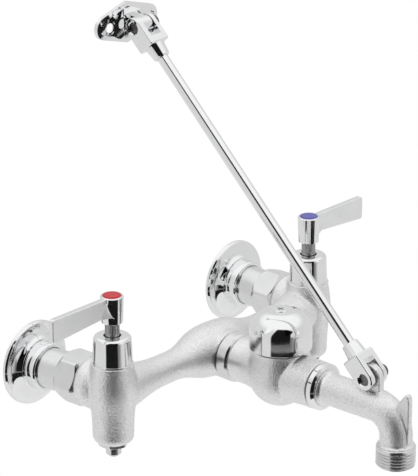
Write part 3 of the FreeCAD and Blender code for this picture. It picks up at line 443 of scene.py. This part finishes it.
castings = {
    "yoke_body": {
        "voxel": 0.8 * mm, "fillet": 5.0 * mm, "rounds": 90, "deep": 40 * mm,
        "filled": [("y", -54 * mm, -56 * mm), ("z", 18 * mm, 16 * mm),
                   ("y", -89.5 * mm, -88 * mm)],
        "turned": [("y", -60.5 * mm, -58.5 * mm), ("z", 17.2 * mm, 17.6 * mm),
                   ("y", -88.9 * mm, -89.3 * mm)]},
    "breaker_body": {
        "voxel": 0.62 * mm, "fillet": 6.0 * mm, "rounds": 140, "deep": 42 * mm,
        "filled": [("y", -101 * mm, -103 * mm), ("y", -168 * mm, -166 * mm),
                   ("z", 13 * mm, 11 * mm)],
        "turned": [("y", -113.0 * mm, -111.0 * mm), ("z", 14.4 * mm, 14.8 * mm),
                   ("y", -169.0 * mm, -169.4 * mm)]},
    "spout": {
        "voxel": 0.6 * mm, "fillet": 3.0 * mm, "rounds": 90, "deep": 20 * mm,
        "filled": [("y", -178 * mm, -180 * mm), ("z", -26 * mm, -24 * mm)],
        "turned": [("z", -27.5 * mm, -28.0 * mm), ("y", -181.0 * mm, -179.5 * mm)],
        "pin": {"y": -213.2 * mm, "z": 16.6 * mm, "bare": 5 * mm, "filled": 6 * mm}},
}
skinning = {  # reach is in voxels, sharp in degrees; fill, even and soften are shares per round
    "reach": 1.5, "fill": 0.8, "even": 0.25, "softenRounds": 3, "soften": 0.5, "sharp": 50,
    "off": 0.3 * mm, "lean": 0.8,
}


def fadeIn(values, start, full):
    return np.clip((values - start) / (full - start), 0, 1)


def spansOf(points, spans):
    return [fadeIn(points[:, "xyz".index(axis)], start, full) for axis, start, full in spans]


def freeToFill(node, points):
    free = np.prod(spansOf(points, castings[node]["filled"]), axis=0)
    if "pin" in castings[node]:
        pin = castings[node]["pin"]
        away = np.hypot(points[:, 1] - pin["y"], points[:, 2] - pin["z"])
        free = free * fadeIn(away, pin["bare"], pin["filled"])
    return free


def machinedPart(node, points):
    return np.max(spansOf(points, castings[node]["turned"]), axis=0)


def vertexNormals(points, quads):
    first, second, third, fourth = (points[quads[:, corner]] for corner in range(4))
    cross = np.cross(third - first, fourth - second)
    normals = np.zeros_like(points)
    for corner in range(4):
        for axis in range(3):
            normals[:, axis] += np.bincount(quads[:, corner], cross[:, axis], len(points))
    return normals / np.maximum(np.linalg.norm(normals, axis=1), 1e-12)[:, None]


def neighbourMeans(points, edges, counts):
    total = np.empty_like(points)
    for axis in range(3):
        total[:, axis] = np.bincount(edges[:, 0], points[edges[:, 1], axis], len(points)) \
            + np.bincount(edges[:, 1], points[edges[:, 0], axis], len(points))
    return total / counts[:, None]


def outsideOf(points, normals, solid, deep):
    # 1 where the open air can be reached, straight out or a little aslant.
    lean = skinning["lean"]
    leans = [Vector((0, 0, 0))] + [Vector(aside) for aside in (
        (lean, 0, 0), (-lean, 0, 0), (0, lean, 0), (0, -lean, 0), (0, 0, lean), (0, 0, -lean))]
    clear = np.zeros(len(points))
    for index, (point, normal) in enumerate(zip(points, normals)):
        way = Vector(normal)
        start = Vector(point) + way * skinning["off"]
        clear[index] = any(
            solid.ray_cast(start, (way + aside).normalized(), deep)[0] is None for aside in leans)
    return clear


def trimForHoseEnd(points):
    # Draws the casting in under the collar and thread that are made for it.
    values = threadAndCollar
    top = values["collarTop"]
    under = fadeIn(-points[:, 2], top - values["trimFade"], top)
    away = points[:, :2] - np.array(values["axis"])
    far = np.maximum(np.linalg.norm(away, axis=1), 1e-9)
    kept = np.minimum(far, values["core"] - values["trim"])
    points[:, :2] += away * ((kept - far) / far * under)[:, None]
    points[:, 2] = np.maximum(points[:, 2], values["bottom"] + values["trimEnd"])


def skinnedPiece(node):
    values = castings[node]
    piece = mergedPiece(node)
    solid = BVHTree.FromObject(piece, bpy.context.evaluated_depsgraph_get())
    skin = piece.modifiers.new("skin", "REMESH")
    skin.mode = "VOXEL"
    skin.voxel_size = values["voxel"]
    bake(piece)
    mesh = piece.data
    points = np.empty(len(mesh.vertices) * 3, dtype=np.float32)
    mesh.vertices.foreach_get("co", points)
    points = points.reshape(-1, 3).astype(float)
    for index, point in enumerate(points):
        near = solid.find_nearest(Vector(point), skinning["reach"] * values["voxel"])
        if near[0] is not None:
            points[index] = near[0]
    quads = np.array([[*face.vertices, face.vertices[0]][:4] for face in mesh.polygons])
    edges = np.array([edge.vertices[:] for edge in mesh.edges])
    counts = np.maximum(np.bincount(edges.ravel(), minlength=len(points)), 1)
    normals = vertexNormals(points, quads)
    free = outsideOf(points, normals, solid, values["deep"]) * freeToFill(node, points)
    limit = values["voxel"] ** 2 / (4 * values["fillet"])  # how hollow such a fillet is
    for _ in range(values["rounds"]):
        shift = neighbourMeans(points, edges, counts) - points
        rise = (shift * normals).sum(1)
        fill = np.clip(rise - limit, 0, None) * skinning["fill"]
        even = skinning["even"] * (fill > 0)
        points += ((fill - even * rise)[:, None] * normals + even[:, None] * shift) \
            * free[:, None]
        normals = vertexNormals(points, quads)
    around = neighbourMeans(free[:, None] * np.ones(3), edges, counts)[:, :1] * free[:, None]
    for _ in range(skinning["softenRounds"]):
        shift = neighbourMeans(points, edges, counts) - points
        points += skinning["soften"] * shift * around
    if node == "spout":
        trimForHoseEnd(points)
    mesh.vertices.foreach_set("co", points.astype(np.float32).ravel())
    machined = mesh.attributes.new("machined", "FLOAT", "POINT")
    machined.data.foreach_set("value", machinedPart(node, points).astype(np.float32))
    mesh.update()
    shadeSmooth(mesh, skinning["sharp"])
    settle(piece, node)


# The hose end, in machined metal round the casting: a collar and a real helical thread.

threadAndCollar = {
    "axis": (0.0, -235.4 * mm), "bottom": -41.0 * mm, "collarTop": 26.35 * mm,
    "collar": 13.4 * mm, "round": 1.4 * mm, "core": 12.0 * mm, "inner": 10.0 * mm,
    "neck": 11.3 * mm, "overlap": 0.9 * mm, "start": -29.3 * mm, "leadIn": 0.5 * mm,
    "leadHeight": 0.4 * mm, "undercut": 0.3 * mm, "edge": 0.2 * mm, "edgeHeight": 0.3 * mm,
    "shoulder": 1.0 * mm, "pitch": 2.209 * mm, "turns": 5.0, "depth": 1.4 * mm, "lift": 0.35,
    "trim": 1.2 * mm, "trimFade": 0.6 * mm, "trimEnd": 0.3 * mm,
}
ridgeShape = {  # shares of the pitch, of the depth and of the spiral's length
    "crest": 0.09, "root": 0.47, "sunk": 0.4, "runOut": 0.05, "thinned": 0.35, "steps": 96,
}


def latheMesh(name, outline, centre, segments):
    # A closed ring from (radius, height) points that run round its section.
    shape = bmesh.new()
    rings = []
    for step in range(segments):
        angle = 2 * math.pi * step / segments
        rings.append([
            shape.verts.new((
                centre[0] + radius * math.cos(angle), centre[1] + radius * math.sin(angle), height))
            for radius, height in outline])
    for here, there in zip(rings, rings[1:] + rings[:1]):
        for index in range(len(outline)):
            after = (index + 1) % len(outline)
            shape.faces.new((here[index], there[index], there[after], here[after]))
    bmesh.ops.recalc_face_normals(shape, faces=shape.faces)
    return meshFrom(shape, name)


def arcPoints(centre, radius, start, end, steps):
    turns = [math.radians(start + (end - start) * step / steps) for step in range(steps + 1)]
    return [(centre[0] + radius * math.cos(turn), centre[1] + radius * math.sin(turn))
            for turn in turns]


def makeRidgeTree():
    tree = bpy.data.node_groups.new("threadRidge", "GeometryNodeTree")
    for label in ("Radius", "Pitch", "Turns", "Depth"):
        tree.interface.new_socket(label, in_out="INPUT", socket_type="NodeSocketFloat")
    tree.interface.new_socket("Material", in_out="INPUT", socket_type="NodeSocketMaterial")
    tree.interface.new_socket("Geometry", in_out="OUTPUT", socket_type="NodeSocketGeometry")
    entry = addNode(tree, "NodeGroupInput").outputs
    leave = addNode(tree, "NodeGroupOutput")
    spiral = addNode(tree, "GeometryNodeCurveSpiral")
    setInputs(tree, spiral, {
        "Resolution": ridgeShape["steps"], "Rotations": entry["Turns"],
        "Start Radius": entry["Radius"], "End Radius": entry["Radius"],
        "Height": combine(tree, "MULTIPLY", entry["Pitch"], entry["Turns"])})
    upright = addNode(tree, "GeometryNodeSetCurveNormal", mode="Z_UP")
    setInputs(tree, upright, {"Curve": spiral.outputs["Curve"]})
    # The ridge's section: across is towards the axis, along is up the thread.
    section = addNode(tree, "GeometryNodeCurvePrimitiveQuadrilateral", mode="POINTS")
    sunk, crest, root = (ridgeShape[key] for key in ("sunk", "crest", "root"))
    corners = ((sunk, root), (-1.0, crest), (-1.0, -crest), (sunk, -root))
    for index, (across, along) in enumerate(corners):
        corner = addNode(tree, "ShaderNodeCombineXYZ")
        setInputs(tree, corner, {
            "X": combine(tree, "MULTIPLY", entry["Depth"], across),
            "Y": combine(tree, "MULTIPLY", entry["Pitch"], along)})
        setInputs(tree, section, {f"Point {index + 1}": corner.outputs["Vector"]})
    # The ridge runs out at both ends.
    along = addNode(tree, "GeometryNodeSplineParameter").outputs["Factor"]
    ends = combine(tree, "MINIMUM", along, combine(tree, "SUBTRACT", 1.0, along))
    sweep = addNode(tree, "GeometryNodeCurveToMesh")
    setInputs(tree, sweep, {
        "Curve": upright.outputs["Curve"], "Profile Curve": section.outputs["Curve"],
        "Scale": remap(tree, ends, 0.0, ridgeShape["runOut"], ridgeShape["thinned"], 1.0),
        "Fill Caps": True})
    whole = addNode(tree, "GeometryNodeRealizeInstances")
    setInputs(tree, whole, {"Geometry": sweep.outputs["Mesh"]})
    dressed = addNode(tree, "GeometryNodeSetMaterial")
    setInputs(tree, dressed, {
        "Geometry": whole.outputs["Geometry"], "Material": entry["Material"]})
    tree.links.new(dressed.outputs["Geometry"], leave.inputs["Geometry"])
    return tree


def makeRidge(finish):
    values = threadAndCollar
    ridge = newObject("hoseRidge", bpy.data.meshes.new("hoseRidge"))
    growth = ridge.modifiers.new("thread", "NODES")
    growth.node_group = makeRidgeTree()
    sockets = {
        item.name: item.identifier for item in growth.node_group.interface.items_tree
        if item.item_type == "SOCKET" and item.in_out == "INPUT"}
    growth[sockets["Radius"]] = values["core"]
    growth[sockets["Pitch"]] = values["pitch"]
    growth[sockets["Turns"]] = values["turns"]
    growth[sockets["Depth"]] = values["depth"]
    growth[sockets["Material"]] = finish
    bake(ridge)
    lift = Vector((*values["axis"], values["bottom"] + values["lift"] * values["pitch"]))
    ridge.data.transform(Matrix.Translation(lift))
    return ridge


def makeHoseEnd():
    values = threadAndCollar
    core, collar, rounding = values["core"], values["collar"], values["round"]
    bottom, start, top = values["bottom"], values["start"], -values["collarTop"]
    outline = [
        (values["inner"], bottom),
        (core - values["leadIn"], bottom),
        (core, bottom + values["leadHeight"]),
        (core, start - values["undercut"]),
        (collar - values["edge"], start),
        (collar, start + values["edgeHeight"]),
        (collar, top - values["shoulder"]),
        *arcPoints((collar - rounding, top - values["shoulder"]), rounding, 15, 90, 5),
        (values["neck"], top + values["overlap"]),
        (values["inner"], top + values["overlap"]),
    ]
    finish = turnedMaterials["satin_chrome", "Z"]
    ridge = makeRidge(finish)
    hoseEnd = newObject("hose_thread", latheMesh("hose_thread", outline, values["axis"], 160))
    both = bmesh.new()
    both.from_mesh(hoseEnd.data)
    both.from_mesh(ridge.data)
    bmesh.ops.recalc_face_normals(both, faces=both.faces)
    both.to_mesh(hoseEnd.data)
    both.free()
    bpy.data.objects.remove(ridge)
    shadeSmooth(hoseEnd.data, 28)
    hoseEnd.data.materials.clear()
    hoseEnd.data.materials.append(finish)
    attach(hoseEnd, bodyOfNode["spout"])


for node in castings:
    skinnedPiece(node)
makeHoseEnd()
print("castings skinned and threaded")


# The vacuum breaker's dome, turned and polished, with its vent.

dome = {
    "axis": (0.0, -134.2 * mm), "radius": 21.7 * mm, "wall": 1.5 * mm, "rim": 16.5 * mm,
    "top": 42.6 * mm, "shoulder": 14.0 * mm, "flat": 7.59 * mm, "crown": 240.0 * mm,
    "crownHeight": 21.7 * mm, "joint": 29.03 * mm, "dish": 5.1 * mm, "dishDepth": 0.6 * mm,
    "hole": 2.15 * mm, "post": 40.5 * mm, "vent": 1.3 * mm, "ventHeight": 4.6 * mm,
    "ventAngle": 164.7, "ventDepth": 10 * mm, "rimEdge": 0.45 * mm, "rimRound": 0.17 * mm,
    "rimRise": 0.12 * mm, "skirt": 0.4 * mm, "lip": 0.8 * mm, "lipRound": 0.4 * mm,
    "lipDrop": 0.15 * mm, "postGap": 1.0 * mm, "innerStep": 0.2 * mm, "segments": 224,
    "skirtSteps": 13, "shoulderSteps": 30, "innerSteps": 12, "sharp": 25,
}


def crowned(height):
    return dome["radius"] - (height - dome["crownHeight"]) ** 2 / (2 * dome["crown"])


def domeNormal(point):
    # The exact direction of the skirt's crown, the shoulder or the flat at a point.
    away = Vector((point.x - dome["axis"][0], point.y - dome["axis"][1], 0))
    outwards = away.normalized()
    if point.z <= dome["joint"]:
        above = Vector((0, 0, point.z - dome["crownHeight"]))
        return (outwards * dome["crown"] + above).normalized()
    out, rise = away.length - dome["flat"], point.z - (dome["top"] - dome["shoulder"])
    if out <= 0:
        return Vector((0, 0, 1))
    return (outwards * out + Vector((0, 0, rise))).normalized()


def domeOutline():
    radius, shoulder, wall, rim = (dome[key] for key in ("radius", "shoulder", "wall", "rim"))
    flat, joint, top, dish = (dome[key] for key in ("flat", "joint", "top", "dish"))
    middle = top - shoulder
    leaves = math.degrees(math.asin((joint - middle) / shoulder))
    heights = np.linspace(rim + dome["skirt"], joint, dome["skirtSteps"] + 1)
    return [
        (radius - wall, rim),
        (radius - dome["rimEdge"], rim),
        (radius - dome["rimRound"], rim + dome["rimRise"]),
        *[(crowned(height), height) for height in heights[:-1]],
        *arcPoints((flat, middle), shoulder, leaves, 90, dome["shoulderSteps"]),
        (dish + dome["lip"], top),
        (dish + dome["lipRound"], top - dome["lipDrop"]),
        (dish, top - dome["dishDepth"]),
        (dome["hole"], top - dome["dishDepth"]),
        (dome["hole"], dome["post"]),
        (flat - dome["postGap"], dome["post"]),
        (flat, top - wall),
        *arcPoints(
            (flat - dome["innerStep"], middle), shoulder - wall, 85, 0, dome["innerSteps"]),
    ]


def drillVent(piece):
    bit = bmesh.new()
    bmesh.ops.create_cone(
        bit, cap_ends=True, segments=40, radius1=dome["vent"], radius2=dome["vent"],
        depth=dome["ventDepth"], matrix=Matrix.Translation((0, 0, dome["radius"])))
    drill = newObject("drill", meshFrom(bit, "drill"))
    height = dome["rim"] + dome["ventHeight"]
    drill.matrix_world = Matrix.Translation((*dome["axis"], height)) \
        @ (Matrix.Rotation(math.radians(dome["ventAngle"]), 4, "Z")
           @ Matrix.Rotation(math.radians(90), 4, "Y"))
    hole = piece.modifiers.new("vent", "BOOLEAN")
    hole.object = drill
    hole.solver = "EXACT"
    bake(piece)
    bpy.data.objects.remove(drill)


def makeDome():
    lathed = latheMesh("breaker_cap", domeOutline(), dome["axis"], dome["segments"])
    piece = newObject("breaker_cap_piece", lathed)
    drillVent(piece)
    mesh = piece.data
    shadeSmooth(mesh, dome["sharp"])
    normals = [Vector(corner.vector) for corner in mesh.corner_normals]
    for face in mesh.polygons:
        polished = face.normal.dot(domeNormal(face.center)) > 0.97
        if polished and face.center.z > dome["rim"] + 0.5 * mm:
            for loop in face.loop_indices:
                normals[loop] = domeNormal(mesh.vertices[mesh.loops[loop].vertex_index].co)
    mesh.normals_split_custom_set([tuple(normal) for normal in normals])
    settle(piece, "breaker_cap")


makeDome()
print("dome turned")


# Machined pieces: edges broken as a polisher leaves them.

brokenEdges = {  # in mm, for the pieces whose names end so
    "wall_flange": 0.3, "supply_shank": 0.25, "union_nut": 0.3, "bonnet": 0.35, "stem": 0.0,
    "stem_ring": 0.2, "index_button": 0.15, "stop_bushing": 0.25, "stop_stem": 0.15,
    "coupling_nut": 0.3, "cap_screw": 0.3, "spout_nut": 0.3,
    "clevis": 0.35, "pin": 0.2, "brace_rod": 0.1, "handle": 0.25, "wall_bracket": 0.45,
}
edgeShape = {"segments": 2, "angle": 32.0, "leverAngle": 18.0}
levers = {  # blades are brushed; hubs, this far round each lever's axis, are mirror-bright
    "hub": 8.2 * mm,
    "axes": {
        "hot_handle": (-101.6 * mm, -73.4 * mm, 0), "cold_handle": (101.6 * mm, -73.4 * mm, 0)},
}


def endingOf(node):
    endings = [ending for ending in brokenEdges if node.endswith(ending)]
    return max(endings, key=len) if endings else None


def joinFlats(mesh):
    shape = bmesh.new()
    shape.from_mesh(mesh)
    bmesh.ops.dissolve_limit(
        shape, angle_limit=math.radians(meshCare["flat"]), verts=shape.verts, edges=shape.edges)
    shape.to_mesh(mesh)
    shape.free()


def brushBlade(mesh, node):
    brushed = mesh.attributes.new("brushed", "FLOAT", "FACE")
    axis = Vector(levers["axes"][node])
    for face in mesh.polygons:
        onBlade = (face.center - axis).xy.length > levers["hub"]
        brushed.data[face.index].value = float(onBlade and abs(face.normal.z) < 0.5)


def machinedPiece(node, edge):
    piece = mergedPiece(node)
    mesh = piece.data
    joinFlats(mesh)
    angle = edgeShape["angle"]
    if node in levers["axes"]:
        brushBlade(mesh, node)
        angle = edgeShape["leverAngle"]
    shadeSmooth(mesh, angle)
    if edge > 0:
        soft = piece.modifiers.new("edges", "BEVEL")
        soft.width = edge
        soft.segments = edgeShape["segments"]
        soft.limit_method = "ANGLE"
        soft.angle_limit = math.radians(angle)
        soft.harden_normals = True
        soft.miter_outer = "MITER_ARC"
    even = piece.modifiers.new("evenShade", "WEIGHTED_NORMAL")
    even.keep_sharp = True
    bake(piece)
    settle(piece, node)


for node in nodes:
    if endingOf(node):
        machinedPiece(node, brokenEdges[endingOf(node)] * mm)
print("machined pieces dressed")

for node, solid in nodes.items():
    if node != "breaker_cap" and node not in castings and not endingOf(node):
        solid.data.materials.clear()
        solid.data.materials.append(finishOf(node))
print("inner pieces given their materials")


# Studio: pale floor, soft lamps, and the light panels and dark flags that the metal mirrors.

studio = {
    "floor": {"radius": 0.8, "height": -0.6, "colour": (0.86, 0.86, 0.86), "roughness": 0.8},
    "lamps": {
        "key": {"place": (-1.6, -1.7, 2.0), "size": 1.6, "power": 26},
        "fill": {"place": (1.8, -1.2, 0.9), "size": 1.8, "power": 12},
        "top": {"place": (0.0, 0.6, 2.2), "size": 1.6, "power": 10},
    },
    "aim": (0.0, -0.12, 0.05),
    "camera": {
        "place": (-1.468, -1.378, 0.819), "azimuth": -48.28, "elevation": 20.63, "lens": 231.8},
}


def makeFloor():
    values = studio["floor"]
    material, tree, shader, place = newMaterial("floorPaint")
    cloudier = tuple(part * 0.98 for part in values["colour"])
    setInputs(tree, shader, {
        "Base Color": blend(tree, noise(tree, place, 6.0, 2.0), values["colour"], cloudier),
        "Roughness": values["roughness"]})
    shape = bmesh.new()
    bmesh.ops.create_circle(
        shape, cap_ends=True, segments=96, radius=values["radius"],
        matrix=Matrix.Translation((0, -0.1, values["height"])))
    floor = newObject("floor", meshFrom(shape, "floor"))
    floor.data.materials.append(material)


def makeLamps():
    for name, values in studio["lamps"].items():
        lamp = bpy.data.lights.new(name, "AREA")
        lamp.shape = "DISK"
        lamp.size = values["size"]
        lamp.energy = values["power"]
        holder = newObject(name, lamp)
        holder.location = values["place"]
        towards = Vector(studio["aim"]) - Vector(values["place"])
        holder.rotation_euler = towards.to_track_quat("-Z", "Y").to_euler()
        holder.visible_glossy = False


def makeCamera():
    values = studio["camera"]
    camera = bpy.data.cameras.new("camera")
    camera.lens = values["lens"]
    camera.sensor_width = 36.0
    camera.clip_start = 0.05
    camera.clip_end = 20.0
    azimuth, elevation = math.radians(values["azimuth"]), math.radians(values["elevation"])
    back = Vector((
        math.sin(azimuth) * math.cos(elevation), -math.cos(azimuth) * math.cos(elevation),
        math.sin(elevation)))
    right = Vector((math.cos(azimuth), math.sin(azimuth), 0))
    turn = Matrix((right, back.cross(right), back)).transposed().to_4x4()
    holder = newObject("camera", camera)
    holder.matrix_world = Matrix.Translation(values["place"]) @ turn
    bpy.context.scene.camera = holder


# Corners anticlockwise, in degrees round from the front and up from the horizon, each with the
# softness of the edge that it begins.
air = {
    "seen": 1.0, "diffuse": 0.6, "level": 0.72,
    "floorwards": {"level": 0.78, "from": -0.25, "full": -0.55},
    "above": {"level": 1.0, "from": 0.45, "full": 0.72},
    "panels": {
        "leftBox": [(-66, 5, 7), (-38, 5, 7), (-36, 26, 7), (-12, 52, 7), (-12, 66, 7),
                    (-66, 66, 7)],
        "rightBox": [(52, 13, 3), (66, 0, 3), (74, 8, 3), (62, 30, 3), (48, 33, 3)],
    },
    "flags": {
        "column": [(-37, -20.9, 0.6), (34, -20.9, 2), (36, 30, 4), (30, 40, 4), (2, 45, 3),
                   (-16, 44, 3), (-20, 38, 2), (-34, 5, 2.5)],
        "corner": [(16, 8, 3), (36, 12, 2), (48, 24, 3), (40, 34, 4), (16, 42, 4)],
        "below": [(-37, -62, 6), (66, -62, 4), (66, -23.0, 0.5), (-37, -23.0, 2.5)],
    },
    "flagLevel": 0.012,
    "haze": [(-37, -24, 2), (54, -24, 20), (54, -2, 7), (-37, -2, 2.5)],
    "hazeLevel": 0.17,
    "front": -48.28,
}


def insideOf(tree, angles, corners):
    # 1 inside a convex outline, fading over its soft edges.
    inside = 1.0
    for here, there in zip(corners, corners[1:] + corners[:1]):
        across, up = there[0] - here[0], there[1] - here[1]
        length = math.hypot(across, up)
        line = addNode(tree, "ShaderNodeVectorMath", operation="DOT_PRODUCT")
        setInputs(tree, line, {0: angles, 1: (
            -up / length, across / length, (up * here[0] - across * here[1]) / length)})
        edge = addNode(tree, "ShaderNodeMapRange", interpolation_type="SMOOTHSTEP")
        setInputs(tree, edge, {
            "Value": line.outputs["Value"], "From Min": -here[2], "From Max": here[2]})
        inside = combine(tree, "MULTIPLY", inside, edge.outputs["Result"])
    return inside


def anglesOf(tree, x, y, z):
    # Degrees round from the front, degrees up, and 1, as the outlines' edges need them.
    degrees = 180 / math.pi
    back = combine(tree, "MULTIPLY", y, -1.0)
    around = combine(tree, "MULTIPLY", combine(tree, "ARCTAN2", x, back), degrees)
    angles = addNode(tree, "ShaderNodeCombineXYZ")
    setInputs(tree, angles, {
        "X": combine(tree, "SUBTRACT", around, air["front"]),
        "Y": combine(tree, "MULTIPLY", combine(tree, "ARCSINE", z, 0.0), degrees),
        "Z": 1.0})
    return angles.outputs["Vector"]


def mirroredShade(tree, x, y, z):
    angles = anglesOf(tree, x, y, z)
    low, high = air["floorwards"], air["above"]
    shade = combine(
        tree, "ADD", remap(tree, z, low["full"], low["from"], low["level"], air["level"]),
        remap(tree, z, high["from"], high["full"], 0.0, high["level"] - air["level"]))
    for corners in air["panels"].values():
        shade = combine(tree, "MAXIMUM", shade, insideOf(tree, angles, corners))
    for corners in air["flags"].values():
        dark = insideOf(tree, angles, corners)
        shade = combine(
            tree, "MULTIPLY", shade, remap(tree, dark, 0.0, 1.0, 1.0, air["flagLevel"]))
    grey = insideOf(tree, angles, air["haze"])
    return combine(tree, "MINIMUM", shade, remap(tree, grey, 0.0, 1.0, 1.0, air["hazeLevel"]))


def makeWorld():
    world = bpy.data.worlds.new("studioAir")
    bpy.context.scene.world = world
    world.use_nodes = True
    tree = world.node_tree
    tree.nodes.clear()
    output = addNode(tree, "ShaderNodeOutputWorld")
    rays = addNode(tree, "ShaderNodeLightPath").outputs
    place = addNode(tree, "ShaderNodeTexCoord")
    split = addNode(tree, "ShaderNodeSeparateXYZ")
    tree.links.new(place.outputs["Generated"], split.inputs["Vector"])
    layers = []
    for strength in (air["diffuse"], mirroredShade(tree, *split.outputs), air["seen"]):
        layer = addNode(tree, "ShaderNodeBackground")
        setInputs(tree, layer, {"Color": (1, 1, 1, 1), "Strength": strength})
        layers.append(layer.outputs["Background"])
    mirrored = combine(tree, "MAXIMUM", rays["Is Glossy Ray"], rays["Is Transmission Ray"])
    result = layers[0]
    for choice, layer in ((mirrored, layers[1]), (rays["Is Camera Ray"], layers[2])):
        mix = addNode(tree, "ShaderNodeMixShader")
        setInputs(tree, mix, {0: choice, 1: result, 2: layer})
        result = mix.outputs["Shader"]
    tree.links.new(result, output.inputs["Surface"])


makeFloor()
makeLamps()
makeWorld()
makeCamera()
bpy.context.scene.view_settings.view_transform = "Standard"
print("studio set")
